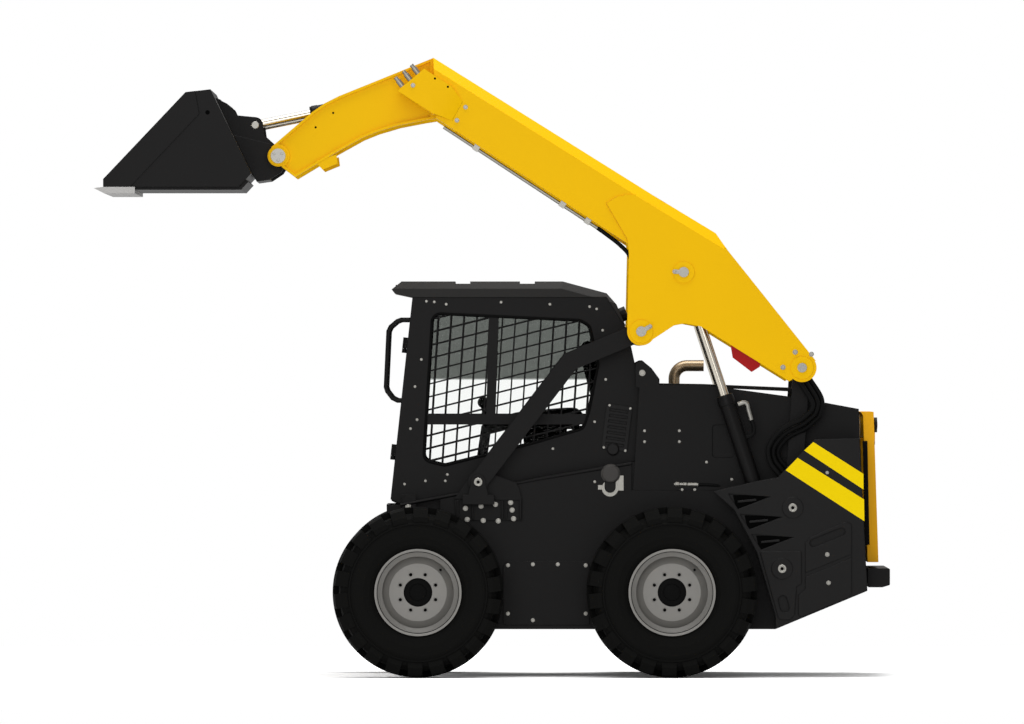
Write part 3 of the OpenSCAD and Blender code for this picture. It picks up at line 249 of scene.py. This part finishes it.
# %% Floor and light
FLOOR_HALF = 9.0
FLOOR_WHITE, FLOOR_SEEN = 0.9, 1.7
SKY_LIGHT, SKY_SEEN = 0.5, 1.0
floor_mesh = bpy.data.meshes.new("studio_floor")
floor_corners = [(x * FLOOR_HALF, y * FLOOR_HALF, 0) for x, y in ((-1, -1), (1, -1), (1, 1), (-1, 1))]
floor_mesh.from_pydata(floor_corners, [], [(0, 1, 2, 3)])
floor = bpy.data.objects.new("studio_floor", floor_mesh)
bpy.context.scene.collection.objects.link(floor)
floor_paint = bpy.data.materials.new("white_studio_floor")
ground = cleared(floor_paint)
ray = add(ground, "ShaderNodeLightPath")
white = add(ground, "ShaderNodeMapRange", {"To Min": FLOOR_WHITE, "To Max": FLOOR_SEEN},
            {"Value": ray.outputs["Is Camera Ray"]})
matt = add(ground, "ShaderNodeBsdfDiffuse", None, {"Color": white.outputs["Result"]})
add(ground, "ShaderNodeOutputMaterial", None, {"Surface": matt.outputs["BSDF"]})
floor_mesh.materials.append(floor_paint)

world = bpy.data.worlds.new("studio_sky")
bpy.context.scene.world = world
sky = cleared(world)
path = add(sky, "ShaderNodeLightPath")
seen = add(sky, "ShaderNodeMath", {"operation": "MAXIMUM"},
           {0: path.outputs["Is Camera Ray"], 1: path.outputs["Is Transmission Ray"]})
level = add(sky, "ShaderNodeMapRange", {"To Min": SKY_LIGHT, "To Max": SKY_SEEN}, {"Value": seen.outputs[0]})
backdrop = add(sky, "ShaderNodeBackground", {"Color": (1, 1, 1, 1)}, {"Strength": level.outputs["Result"]})
add(sky, "ShaderNodeOutputWorld", None, {"Surface": backdrop.outputs[0]})


def soft_lamp(name, watts, size, spot, aim):
    """A square lamp at spot that shines towards aim."""
    data = bpy.data.lights.new(name, "AREA")
    data.energy, data.size = watts, size
    lamp = bpy.data.objects.new(name, data)
    bpy.context.scene.collection.objects.link(lamp)
    lamp.location = spot
    way = np.array(aim) - np.array(spot)
    tip = math.atan2(math.hypot(way[0], way[1]), -way[2])
    lamp.rotation_euler = (tip, 0, math.atan2(way[1], way[0]) - math.pi / 2)
    return lamp


soft_lamp("overhead_softbox", 1010, 9.0, (0.0, 0.0, 11.0), (0, 0, 0))
soft_lamp("front_softbox", 300, 7.0, (1.0, 11.0, 4.5), (0, 0, 1.4))
bpy.context.scene.view_settings.view_transform = "Standard"
print("lamps set")

# %% [markdown]
# ## Shapes on a grid
# Every piece added here is a surface over two parameters. A turned piece is a profile carried round an
# axis, a hose or bead is a ring carried along a path, and a plate is an outline carried across its
# thickness. The points come as whole arrays, and the faces join each grid point to its neighbours.

# %% Grid surfaces


def grid_faces(rows, columns):
    """Quads of a rows by columns grid whose last column joins its first."""
    i, j = np.meshgrid(np.arange(rows - 1), np.arange(columns), indexing="ij")
    k = (j + 1) % columns
    low, high = i * columns, (i + 1) * columns
    return np.stack([low + j, low + k, high + k, high + j], -1).reshape(-1, 4)


def turned(axis):
    """The rotation that brings +Z to axis, its columns the new directions."""
    w = np.asarray(axis, float) / np.linalg.norm(axis)
    u = np.cross((0, 1, 0) if abs(w[1]) < 0.9 else (1, 0, 0), w)
    u /= np.linalg.norm(u)
    return np.stack([u, np.cross(w, u), w], axis=1)


def revolved(profile, steps=24, flats=0.0):
    """Points r cos t, r sin t, h of a profile of (r, h); flats from 0 to 1 press circle to hexagon."""
    r, h = np.asarray(profile, float).T
    t = np.arange(steps) * 2 * math.pi / steps
    hexagon = math.cos(math.pi / 6) / np.cos((t + math.pi / 6) % (math.pi / 3) - math.pi / 6)
    ring = 1 + np.broadcast_to(flats, r.shape)[:, None] * (hexagon - 1)
    r, h = r[:, None] * ring, h[:, None] + 0 * t
    return np.stack([r * np.cos(t), r * np.sin(t), h], axis=-1)


def through(points, steps=10):
    """Cubic spans through the points; the slope at a point is half the way between its neighbours."""
    p = np.asarray(points, float)
    slope = np.gradient(p, axis=0)
    t = np.linspace(0, 1, steps, endpoint=False)[None, :, None]
    a, b, m, n = p[:-1, None], p[1:, None], slope[:-1, None], slope[1:, None]
    path = (2 * t**3 - 3 * t**2 + 1) * a + (t**3 - 2 * t**2 + t) * m
    path = path + (3 * t**2 - 2 * t**3) * b + (t**3 - t**2) * n
    return np.concatenate([path.reshape(-1, 3), p[-1:]])


def swept(path, radius, steps=12):
    """Rings of a radius, one number or one per point, each square to the path's way there."""
    path = np.asarray(path, float)
    way = np.gradient(path, axis=0)
    way /= np.linalg.norm(way, axis=1)[:, None]
    side = np.cross(way, (0.02, 1, 0.03))
    side /= np.linalg.norm(side, axis=1)[:, None]
    up = np.cross(side, way)
    t = np.arange(steps)[None, :, None] * 2 * math.pi / steps
    size = np.broadcast_to(radius, len(path))[:, None, None]
    return path[:, None] + size * (np.cos(t) * side[:, None] + np.sin(t) * up[:, None])


def shown(name, grids, material, body, sharp=40):
    """One object that rides a body, made of grids of points in millimetres, each rows by columns by 3."""
    points = np.concatenate([grid.reshape(-1, 3) for grid in grids])
    starts = np.cumsum([0] + [grid.shape[0] * grid.shape[1] for grid in grids])[:-1]
    quads = np.concatenate([grid_faces(*grid.shape[:2]) + start for grid, start in zip(grids, starts)])
    caps = []
    for grid, start in zip(grids, starts):
        rows, columns = grid.shape[:2]
        caps += [list(range(start + columns - 1, start - 1, -1))]
        caps += [list(range(start + (rows - 1) * columns, start + rows * columns))]
    mesh = bpy.data.meshes.new(name)
    mesh.from_pydata(place(points).tolist(), [], quads.tolist() + caps)
    mesh.materials.append(material)
    mesh.polygons.foreach_set("use_smooth", np.ones(len(mesh.polygons), bool))
    mesh.set_sharp_from_angle(angle=math.radians(sharp))
    mesh.validate()
    obj = bpy.data.objects.new(name, mesh)
    bpy.context.scene.collection.objects.link(obj)
    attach(obj, body)
    return obj


def stamped(base, spots, axis, sizes=1.0):
    """Copies of a grid drawn about +Z, set at each spot with +Z along that spot's axis."""
    spots = np.asarray(spots, float)
    axes = np.broadcast_to(np.asarray(axis, float), spots.shape)
    sizes = np.broadcast_to(sizes, len(spots))
    return [base * s @ turned(a).T + p for p, a, s in zip(spots, axes, sizes)]


def plate(outline, y0, y1):
    """An outline of (x, z) carried from y0 to y1."""
    return np.stack([at(y0, outline), at(y1, outline)])


print("grid helpers ready; a hexagon ring:", revolved([(10, 0)], 6, 1.0).round(1)[0, 0])

# %% [markdown]
# ## Bolts
# A bolt is one turned profile: a round washer, then a hexagon head with a chamfered top. Its rows are
# pressed from circle to hexagon, so one grid holds both. A size is a share of the full bolt. A round knob
# closes the foot of each air inlet.

# %% Bolts
BOLT = revolved([(15, -0.5), (15, 2), (11.6, 2), (11.6, 8.5), (9.6, 10), (1, 10)], 24, [0, 0, 1, 1, 0, 0])
KNOB = revolved([(33, 0), (33, 9), (27, 14), (1, 14)], 24)
CAB_BOLTS = [(633, 1551), (591, 1548), (527, 1535), (234, 1546), (-27, 1535), (-239, 1522), (-277, 1510),
             (-309, 1396), (-325, 1133), (-266, 907), (-43, 763), (521, 625), (638, 591), (532, 591),
             (750, 574), (660, 1240), (694, 1095), (683, 918), (718, 870)]
INLET_BOLTS = [(-346, 995), (-457, 978), (-315, 770), (-430, 752)]
BRACKET_BOLTS = [(424, 445), (414, 386), (341, 457), (329, 380), (264, 466), (249, 378), (183, 476),
                 (175, 436), (167, 390)]
COVER_BOLTS = [(197, 141), (197, -117), (64, 146), (-69, 146), (-218, 141), (-218, -117), (64, -152)]
FRAME_BOLTS = [(-532, 801), (-532, 859), (-718, 859), (-718, 801), (-863, 692), (-998, 600), (-800, 545),
               (-733, 545)]
ARM_PIN_BOLTS = [(-1333, 1279), (-1268, 1198), (-1420, 1268)]
INLET_OUT, COVER_OUT, PAD_OUT, KEEPER_OUT, KNEE_OUT = 9, 6, 8, 12, 22


def paired(name, grid, spots, material, body, sharp=30, size=1.0):
    """Copies of a turned grid on both sides of the machine, each pointing outward."""
    spots = both(spots)
    way = np.sign(spots[:, 1:2]) * (0.0, 1.0, 0.0)
    return shown(name, stamped(grid, spots, way, size), material, body, sharp)


def bolts(name, spots, body, size):
    """Zinc plated bolts on both sides of the machine."""
    return paired(name, BOLT, spots, zinc_plate, body, size=size)


bolts("cab_panel_bolts", at(CAB_Y, CAB_BOLTS), "chassis", 0.47)
bolts("air_inlet_bolts", at(CAB_Y + INLET_OUT, INLET_BOLTS), "chassis", 0.45)
paired("inlet_knobs", KNOB, at(CAB_Y + INLET_OUT - 1, [(-364, 760)]), black_plastic, "chassis")
bolts("link_bracket_bolts", at(BRACKET_Y, BRACKET_BOLTS), "chassis", 0.9)
bolts("belly_cover_bolts", at(TUB_Y + COVER_OUT, COVER_BOLTS), "chassis", 0.7)
bolts("frame_bolts", at(TUB_Y, FRAME_BOLTS), "chassis", 0.5)
bolts("frame_ear_bolts", at(TUB_Y, [(-520, 1168)]), "chassis", 1.1)
bolts("tub_bolts", at(TUB_Y, [(-266, 587)]), "chassis", 0.5)
bolts("cab_foot_bolts", at(TUB_Y + 1, [(730, 457)]), "chassis", 1.0)
bolts("pod_bolts", at(POD_Y + PAD_OUT, [(-1504, 201), (-1511, 50)]), "chassis", 0.8)
bolts("pod_top_bolts", at(POD_Y, [(-1504, 637)]), "chassis", 0.6)
bolts("arm_pin_bolts", at(ARM_Y, ARM_PIN_BOLTS), "lift_arm", 0.9)
knee_spots = np.concatenate([at(BEAM_Y + KNEE_OUT, [(703, 2700)]), at(BEAM_Y, [(423, 2584), (469, 2514)])])
bolts("knee_bolts", knee_spots, "lift_arm", 0.8)
bolts("keeper_bolts", at(ARM_Y + KEEPER_OUT, [(-560, 1416), (-690, 1708)]), "lift_arm", 0.7)
print("points a bolt:", BOLT.shape[0] * BOLT.shape[1])

# %% [markdown]
# ## Frame trim
# A rolled flange runs along the top of the frame's side, where the cab sits down on it. A strip closes
# the joint to the upright plate, a foot ties the cab to the frame, and a plated bracket holds the fuel
# filler's neck. Behind it a hose runs from a steel fitting into the rear panel. Both lie half sunk in the
# frame's side, so that the lowered arm clears them.

# %% Frame trim
SILL = [(771, 462), (27, 603), (-463, 684)]
JOINT = [(-436, 694), (-436, 520), (-512, 520), (-512, 690)]
FOOT = [(738, 512), (762, 488), (762, 425), (688, 425), (688, 512)]
COLLAR = round_of((-348, 552), 44, np.arange(24) * math.pi / 12)
EAR = [(-372, 620), (-372, 540), (-420, 540), (-420, 620)]
NECK_FOOT = round_of((-348, 558), 30, np.linspace(math.pi, 2 * math.pi, 13))
NECK = np.concatenate([NECK_FOOT, [(-321, 620), (-379, 620)]])
SMALL_EAR = [(-284, 569), (-284, 545), (-314, 545), (-314, 569)]
FITTING = [(9, 0), (9, 6), (15, 7), (15, 26), (11, 28), (11, 48), (13, 50), (13, 66), (10, 70), (13, 74),
           (13, 128), (1, 128)]
LEAD = [(-812, TUB_Y - 5, 571), (-860, TUB_Y - 5, 571), (-910, TUB_Y - 6, 568), (-960, TUB_Y - 14, 560)]
shown("frame_sills", [swept(at(s * (TUB_Y - 4), SILL), 10) for s in SIDES], black_coat, "chassis", 60)
shown("frame_joints", [plate(JOINT, s * 545, s * 560) for s in SIDES], black_coat, "chassis", 30)
shown("cab_feet", [plate(FOOT, s * (TUB_Y - 2), s * (TUB_Y + 1)) for s in SIDES], black_coat, "chassis", 30)
shown("filler_bracket", [plate(COLLAR, TUB_Y + 0.2, TUB_Y + 4), plate(EAR, TUB_Y + 0.2, TUB_Y + 3),
                         plate(SMALL_EAR, TUB_Y + 0.2, TUB_Y + 3)], zinc_plate, "chassis", 30)
shown("filler_neck", [plate(NECK, TUB_Y + 3.5, TUB_Y + 7)], black_plastic, "chassis", 60)
fitting = stamped(revolved(FITTING, 24), [(-690, TUB_Y - 6, 573)], (-1, 0, -0.02))
shown("side_fitting", fitting, zinc_plate, "chassis", 30)
shown("side_hose", [swept(through(LEAD), 10.5)], hose_rubber, "chassis")
print("sill length:", round(sum(math.dist(a, b) for a, b in zip(SILL, SILL[1:]))), "mm")

# %% [markdown]
# ## Wheels
# Each wheel has eight bolt holes with a coned seat and a disc of painted shade in each, a cap over the hub
# and a valve stem in the dish, all profiles turned about the axle's direction. A groove in the rim's flange
# is drawn as painted shade: a thin black ring carried round a circle, a step past its start.

# %% Wheels
BOLT_CIRCLE_R, GROOVE_R, DISC_OUT, RIM_OUT = 101.6, 217.0, 60.0, 141.0
LUG_SEAT = revolved([(14, -0.5), (14, 0.6), (13, 1.4), (9.5, 0.4), (9.2, -0.5)], 24)
# A flat disc of painted shade that darkens each lug hole.
LUG_HOLE_SHADE = revolved([(8.8, -6), (8.8, -0.2), (8, 0.2), (1, 0.2)], 24)
CAP = revolved([(74, -4), (74, 3), (70, 6), (46, 7), (44, 12), (42, 13), (1, 13)], 48)
VALVE = revolved([(5, -20), (5, 22), (7, 22), (7, 30), (6, 31), (1, 31)], 16)
eighths = np.arange(8) * math.pi / 4 + math.pi / 8
whole_turn = np.arange(98) * 2 * math.pi / 96
for end, x in (("front", AXLE_X), ("rear", -AXLE_X)):
    for hand, s in HANDS:
        wheel, out = f"{end}_{hand}", (0, s, 0)
        body = f"wheel_{wheel}"
        lugs = at(s * (WHEEL_Y + DISC_OUT), round_of((x, 0), BOLT_CIRCLE_R, eighths))
        groove = at(s * (WHEEL_Y + RIM_OUT - 4.5), round_of((x, 0), GROOVE_R, whole_turn))
        hub = stamped(CAP, [(x, s * (WHEEL_Y + DISC_OUT - 3), 0)], out)
        valve = stamped(VALVE, [(x - 120, s * (WHEEL_Y + DISC_OUT - 5), 120)], out)
        shown(f"lug_seats_{wheel}", stamped(LUG_SEAT, lugs, out), wheel_paint, body, 30)
        # Painted shade in each lug hole.
        shown(f"lug_hole_shades_{wheel}", stamped(LUG_HOLE_SHADE, lugs, out), painted_shade_black, body, 30)
        # Painted shade: a thin black ring in the groove of the rim's flange.
        shown(f"rim_groove_shade_{wheel}", [swept(groove, 2, 8)], seal_rubber, body, 60)
        shown(f"hub_cap_{wheel}", hub, seal_rubber, body)
        shown(f"valve_{wheel}", valve, seal_rubber, body)
print("wheel studs:", 4 * len(eighths))

# %% [markdown]
# ## Pins
# The ends of the linkage pins show as steel rings round a grease hole, whose dark inside is a disc of
# painted shade, and three bolts hold the bucket's pin.

# %% Pins
RING = revolved([(23, -1), (23, 2.5), (21, 4), (14, 4), (12, 2.5), (9, 2.5), (9, 1), (1, 1)], 40)
SEAT = revolved([(9, 0.5), (9, 3), (1, 3)], 24)
PIN_ENDS = np.concatenate([at(POD_Y + 5, [(-1320, 450)]), at(POD_Y + 13, [(-1263, 125)]),
                           at(LINK_PIN_Y, [(356, 586)])])
BUCKET_PIN = (1424, 2326)
paired("frame_pin_ends", RING, PIN_ENDS, zinc_plate, "chassis")
# Painted shade: dark discs in the grease holes of the pin ends.
paired("pin_hole_shades", SEAT, PIN_ENDS, painted_shade_black, "chassis")
bolts("bucket_pin_bolts", at(LEG_Y + 14, round_of(BUCKET_PIN, 24, (0.5, 2.6, 4.7))), "lift_arm", 0.6)
print("pin ends:", 2 * len(PIN_ENDS))

# %% [markdown]
# ## Warning stripes and louvres
# Two film stripes run across each rear panel, as thin plates on its face. The louvres below them are
# recesses, and a dull black sheet at the back of each one is painted shade for their dark inside.

# %% Warning stripes and louvres
UPPER = [(-1429, 800), (-1697, 630), (-1697, 547), (-1381, 755)]
LOWER = [(-1346, 716), (-1700, 494), (-1702, 378), (-1282, 650)]
LOUVRE = np.array([(-1001, 517), (-1208, 514), (-1019, 440)])
LOUVRE_STEP, LOUVRE_IN, FILM = np.array((-62, -108)), 9.8, 0.6
for hand, s in HANDS:
    films = [plate(outline, s * POD_Y, s * (POD_Y + FILM)) for outline in (UPPER, LOWER)]
    shown(f"warning_stripes_{hand}", films, stripe_film, "chassis")
    back = POD_Y - LOUVRE_IN
    # Painted shade: a dull black sheet at the back of each louvre.
    shades = [plate(LOUVRE + i * LOUVRE_STEP, s * back, s * (back + 1)) for i in range(3)]
    shown(f"louvre_shade_sheets_{hand}", shades, painted_shade_black, "chassis", 30)
print("stripes a side:", len(films), "louvre backs a side:", len(shades))

# %% [markdown]
# ## Cylinders and hoses
# A gland closes the upper end of each barrel. The lift cylinders have a steel elbow near the gland with a
# short hose that turns in behind the barrel. Three hoses a side swing from the arm's rear pin past the
# rear link and down into the panel: the part on the link stands for the CAD hoses, and the loop below it
# stays with the frame. Two more carry on from the steel lines below the left beam.

# %% Cylinders and hoses


def along(a, b, distance, y):
    """A point on the line from a to b in the plane y."""
    a, b = np.asarray(a, float), np.asarray(b, float)
    x, z = a + distance * (b - a) / np.linalg.norm(b - a)
    return (x, y, z)


LIFT = ((-1263, 125), (-739, 1705))
TILT = ((745, 2657), (1548, 2493))
LIFT_BARREL, TILT_BARREL = 970, 515
GLAND = revolved([(40, -52), (46, -50), (47, -12), (44, -8), (44, 2), (38, 4), (27.5, 5), (27.5, -10)], 40)
TILT_SHARE = (0.87, 0.87, 0.8)
PIPE_R, LIFT_HOSE_R, LINK_HOSE_R, BOOM_HOSE_R = 12.5, 11, 13.5, 11
PIPE = [(-1030, 1000), (-1062, 1010), (-1078, 1000), (-1086, 968), (-1101, 917)]
DROP = [(-1100, 922), (-1114, 880), (-1112, 850), (-1092, 830), (-1066, 822)]
BUNDLE = np.array([(-1384, 1130), (-1450, 1020), (-1440, 950), (-1375, 895), (-1322, 870), (-1262, 830),
                   (-1218, 765), (-1226, 700), (-1270, 640), (-1310, 560)])
BUNDLE_Y, BUNDLE_STEP_Y, BUNDLE_STEP, CLIP_ROW = 668, 28, 27, 2
BOOM_LINE = [(-280, 1941), (-330, 1905), (-400, 1850), (-452, 1790), (-470, 1700)]
BOOM_LINE_Y = (713, 743)
lift_way = np.subtract(*LIFT[::-1])
tilt_way = np.subtract(*TILT[::-1])
lift_ends = both([along(*LIFT, LIFT_BARREL, LIFT_Y)])
tilt_ends = both([along(*TILT, TILT_BARREL, TILT_Y)])
lift_glands = stamped(GLAND, lift_ends, (lift_way[0], 0, lift_way[1]))
tilt_glands = stamped(GLAND * TILT_SHARE, tilt_ends, (tilt_way[0], 0, tilt_way[1]))
shown("lift_glands", lift_glands, black_coat, "lift_barrel")
shown("tilt_glands", tilt_glands, black_coat, "tilt_barrel")


def tubes(name, routes, radius, material, body):
    """Round tubes through routes of (y, pairs), each pair an (x, z) place in the plane y."""
    return shown(name, [swept(through(at(y, pairs)), radius) for y, pairs in routes], material, body)


tubes("lift_elbows", [(s * LIFT_Y, PIPE) for s in SIDES], PIPE_R, zinc_plate, "lift_barrel")
tubes("lift_hoses", [(s * LIFT_Y, DROP) for s in SIDES], LIFT_HOSE_R, hose_rubber, "lift_barrel")
bundle_way = np.gradient(BUNDLE, axis=0)
aside = np.stack([-bundle_way[:, 1], bundle_way[:, 0]], axis=1) / np.linalg.norm(bundle_way, axis=1)[:, None]
rows = [(s * (BUNDLE_Y + BUNDLE_STEP_Y * i), BUNDLE + BUNDLE_STEP * (i - 1) * aside)
        for i in range(3) for s in SIDES]
above = [(y, row[: CLIP_ROW + 1]) for y, row in rows]
below = [(y, row[CLIP_ROW:]) for y, row in rows]
upper = tubes("link_hoses", above, LINK_HOSE_R, hose_rubber, "rear_link")
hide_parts("hydraulic_hoses")
tubes("link_hose_loops", below, LINK_HOSE_R, hose_rubber, "chassis")
tubes("boom_hoses", [(y, BOOM_LINE) for y in BOOM_LINE_Y], BOOM_HOSE_R, hose_rubber, "lift_arm")
print("glands:", len(lift_ends) + len(tilt_ends), "link hoses:", len(rows))

# %% [markdown]
# ## Window seals
# A rubber bead runs round each side window. The outline is the source's own, its corners rounded by arcs,
# and the bead passes its start by one step so that no gap is left.

# %% Window seals


def rounded(outline, radius, steps=6):
    """The outline with each corner turned by an arc of the radius."""
    p = np.asarray(outline, float)
    u = p - np.roll(p, 1, axis=0)
    u /= np.linalg.norm(u, axis=1)[:, None]
    v = np.roll(u, -1, axis=0)
    turn = np.arctan2(u[:, 0] * v[:, 1] - u[:, 1] * v[:, 0], (u * v).sum(1))
    left = np.stack([-u[:, 1], u[:, 0]], axis=1) * np.sign(turn)[:, None]
    centre = p - u * (radius * np.tan(abs(turn) / 2))[:, None] + radius * left
    start = np.arctan2(-left[:, 1], -left[:, 0])
    angle = start[:, None] + turn[:, None] * np.linspace(0, 1, steps)
    return (centre[:, None] + radius * np.stack([np.cos(angle), np.sin(angle)], axis=-1)).reshape(-1, 2)


WINDOW = [(601, 1487), (-190, 1450), (-240, 1420), (-286, 1215), (-237, 963), (-206, 870), (69, 790),
          (537, 673), (649, 700)]
CORNER_R, SEAL_R = 45, 7
edge = rounded(WINDOW, CORNER_R)
edge = np.concatenate([edge, edge[:2]])
shown("window_seals", [swept(at(s * CAB_Y, edge), SEAL_R, 8) for s in SIDES], seal_rubber, "chassis")
print("points along a seal:", len(edge))

# %% [markdown]
# ## Seat
# A moulded base stands for the CAD seat and carries two soft cushions. Each starts as a rounded box, a
# superellipsoid over two angles, and is then blown up a little as cloth so that its faces crown and its
# edges draw in.

# %% Seat
FRAMES, PRESSURE = 20, 4.0
PEDESTAL = [(-100, 680), (100, 660), (120, 868), (-120, 868)]
PAN = [(-225, 866), (225, 866), (225, 884), (-225, 884)]

def power(w, exponent):
    """A power that keeps the sign of its base."""
    return np.sign(w) * abs(w) ** exponent


def cushion(centre, size, lean, columns=64, rows=33):
    """Powers of sine and cosine below one square a ball off to a pad of that size, leant about y."""
    u = np.linspace(0, 2 * math.pi, columns, endpoint=False)
    v = np.linspace(-math.pi / 2 + 0.02, math.pi / 2 - 0.02, rows)[:, None]
    x = power(np.cos(u), 0.4) * power(np.cos(v), 0.5) * size[0] / 2
    y = power(np.sin(u), 0.4) * power(np.cos(v), 0.5) * size[1] / 2
    z = power(np.sin(v), 0.6) * size[2] / 2 + 0 * u
    a = math.radians(lean)
    leant = [x * math.cos(a) + z * math.sin(a), y, z * math.cos(a) - x * math.sin(a)]
    return np.stack(leant, axis=-1) + centre


def crowned(obj, voxel=0.006, most=0.012):
    """Remeshes a pad evenly, blows it up as cloth for FRAMES and keeps each move below most metres."""
    bpy.context.view_layer.objects.active = obj
    obj.modifiers.new("even", "REMESH").voxel_size = voxel
    bpy.ops.object.modifier_apply(modifier="even")
    before = np.empty(len(obj.data.vertices) * 3)
    obj.data.vertices.foreach_get("co", before)
    cloth = obj.modifiers.new("cover", "CLOTH")
    cloth.settings.use_pressure = True
    cloth.settings.uniform_pressure_force = PRESSURE
    cloth.settings.effector_weights.gravity = 0.0
    cloth.point_cache.frame_start, cloth.point_cache.frame_end = 1, FRAMES
    for step in range(1, FRAMES + 1):
        bpy.context.scene.frame_set(step)
    blown = obj.evaluated_get(bpy.context.evaluated_depsgraph_get()).data
    after = np.empty_like(before)
    blown.vertices.foreach_get("co", after)
    obj.modifiers.remove(cloth)
    bpy.context.scene.frame_set(1)
    move = (after - before).reshape(-1, 3)
    length = np.linalg.norm(move, axis=1)[:, None]
    final = before.reshape(-1, 3) + move * np.minimum(1, most / np.maximum(length, 1e-9))
    obj.data.vertices.foreach_set("co", final.ravel())
    obj.data.polygons.foreach_set("use_smooth", np.ones(len(obj.data.polygons), bool))
    smooth = obj.modifiers.new("smooth", "SUBSURF")
    smooth.levels = smooth.render_levels = 1
    return float(length.max())


seat_pads = {
    "seat_cushion": cushion((0, 0, 915), (440, 430, 90), 5),
    "seat_back": cushion((-275, 0, 1140), (430, 420, 80), 105),
}
for name, grid in seat_pads.items():
    pad = shown(name, [grid], seat_vinyl, "chassis", 180)
    moved = crowned(pad)
    print(name, "moved at most", round(moved * 1000, 1), "mm")
base_grids = [plate(PEDESTAL, -150, 150), plate(PAN, -205, 205)]
base = shown("seat_base", base_grids, black_plastic, "chassis", 30)
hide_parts("seat")

# %% [markdown]
# ## Controls
# A bellows closes the foot of each hand lever. Its profile is a line whose radius swings as it rises.

# %% Controls
FOLDS, FOLD_DEPTH, FOOT_R, TOP_R, TALL = 6, 4, 36, 20, 70
rise = np.linspace(0, 1, 6 * FOLDS + 1)
swing = FOLD_DEPTH * np.cos(rise * FOLDS * 2 * math.pi)
folds = np.stack([FOOT_R + (TOP_R - FOOT_R) * rise + swing, TALL * rise], axis=1)
LEVER_WAY = (30.0, 0.0, 130.0)
feet = both([(302, CAB_Y - 144, 890)])
shown("lever_bellows", stamped(revolved(folds, 32), feet, LEVER_WAY), seal_rubber, "chassis", 60)
print("bellows:", len(feet))

# %% [markdown]
# ## Lamps and rear seal
# Each lamp housing of the CAD model gets a slightly domed lens, whose height falls as the square root of
# one less a share of the radius squared. A rubber strip closes the gap at each side of the rear door.

# %% Lamps and rear seal
r = np.linspace(1.0, 0.02, 9)
LENS = np.stack([r, 0.25 * np.sqrt(1.0 - 0.9 * r**2)], axis=1)
LAMP_AIM, LAMP_DEPTH = np.array((-0.919, 0.0, 0.395)), 27
REAR_SEAL = [(-1697, 805), (-1722, 805), (-1734, 250), (-1708, 250)]
visor = both([(794, CAB_Y - 100, 1617)])
shown("visor_lenses", stamped(revolved(LENS * 17, 32), visor, (1, 0, 0)), clear_lens, "chassis")
roof_rear = both([(-407.5, CAB_Y - 190, 1477) + LAMP_DEPTH * LAMP_AIM])
shown("work_lamp_lenses", stamped(revolved(LENS * 32, 32), roof_rear, LAMP_AIM), clear_lens, "chassis")
for hand, s in HANDS:
    shown(f"rear_door_seal_{hand}", [plate(REAR_SEAL, s * 563, s * 569)], seal_rubber, "chassis", 30)
tail = both([(-1770.5, 450, 890)])
shown("tail_lenses", stamped(revolved(LENS * 34, 32), tail, (-1, 0, 0)), red_lens, "rear_door")
print("lenses:", len(visor) + len(roof_rear) + len(tail))

# %% [markdown]
# ## Knee cover and bucket trim
# A folded cover stands over the couplers at the arm's knee: its base outline is wider than its face, so
# one side slopes. Small holes in the cover, the arm's legs and the bucket's sides are flat discs of painted
# shade, and pin ends close the ears of the tilt cylinders.

# %% Knee cover and bucket trim
COVER_BASE = [(785, 2670), (644, 2789), (497, 2694), (437, 2613), (494, 2511), (591, 2547)]
COVER_FACE = [(785, 2670), (644, 2789), (497, 2694), (496, 2692), (590, 2549), (591, 2547)]
COVER_LAYERS = [(759, COVER_FACE), (BEAM_Y + 0.2, COVER_BASE), (BEAM_Y + KNEE_OUT, COVER_FACE)]
covers = [np.stack([at(s * y, outline) for y, outline in COVER_LAYERS]) for s in SIDES]
shown("knee_covers", covers, yellow_enamel, "lift_arm", 20)
DOT = revolved([(1, -1), (1, 0.3), (0.1, 0.3)], 20)
EAR_PIN = revolved([(20, -12), (20, 2), (18, 3.5), (1, 3.5)], 32)


def holes(name, spots, radius, body):
    """Discs of painted shade, of a radius, where holes are on both sides of the machine."""
    return paired(name, DOT * (radius, radius, 1), spots, painted_shade_black, body, 40)


holes("knee_cover_holes", at(BEAM_Y + KNEE_OUT, [(586, 2736), (517, 2692)]), 6, "lift_arm")
holes("leg_holes", at(LEG_Y - 14, [(1130, 2556), (1224, 2479)]), 6, "lift_arm")
holes("bucket_side_holes", at(BUCKET_Y, [(1794, 2553)]), 12, "bucket")
paired("tilt_ear_pins", EAR_PIN, at(TILT_EAR_Y, [TILT[1]]), zinc_plate, "bucket")
print("points a cover:", covers[0].shape[0] * covers[0].shape[1])

# %% [markdown]
# ## Weld beads
# The rear plates of the arm are welded over the beam. A bead is a small round ridge whose radius ripples
# every five millimetres, as a weld pool leaves it.

# %% Weld beads
RIPPLE_MM, RIPPLE, STEP_MM = 5, 0.12, 1.25

def bead(points, y, size=4.0):
    """A rippled round ridge along straight stretches between the points."""
    p = np.asarray(points, float)
    far = np.concatenate([[0], np.cumsum(np.linalg.norm(np.diff(p, axis=0), axis=1))])
    s = np.arange(0, far[-1], STEP_MM)
    line = np.stack([np.interp(s, far, p[:, 0]), np.full(len(s), y), np.interp(s, far, p[:, 1])], axis=1)
    return swept(line, size * (1 + RIPPLE * np.cos(s * 2 * math.pi / RIPPLE_MM)), 8)


PLATE_EDGE = [(-444, 1860), (-440, 1880), (-328, 2072), (-388, 2109)]
beads = [bead(PLATE_EDGE, s * BEAM_Y) for s in SIDES]
shown("arm_weld_beads", beads, bare_weld, "lift_arm", 180)
print("points along the beads:", sum(len(b) for b in beads))
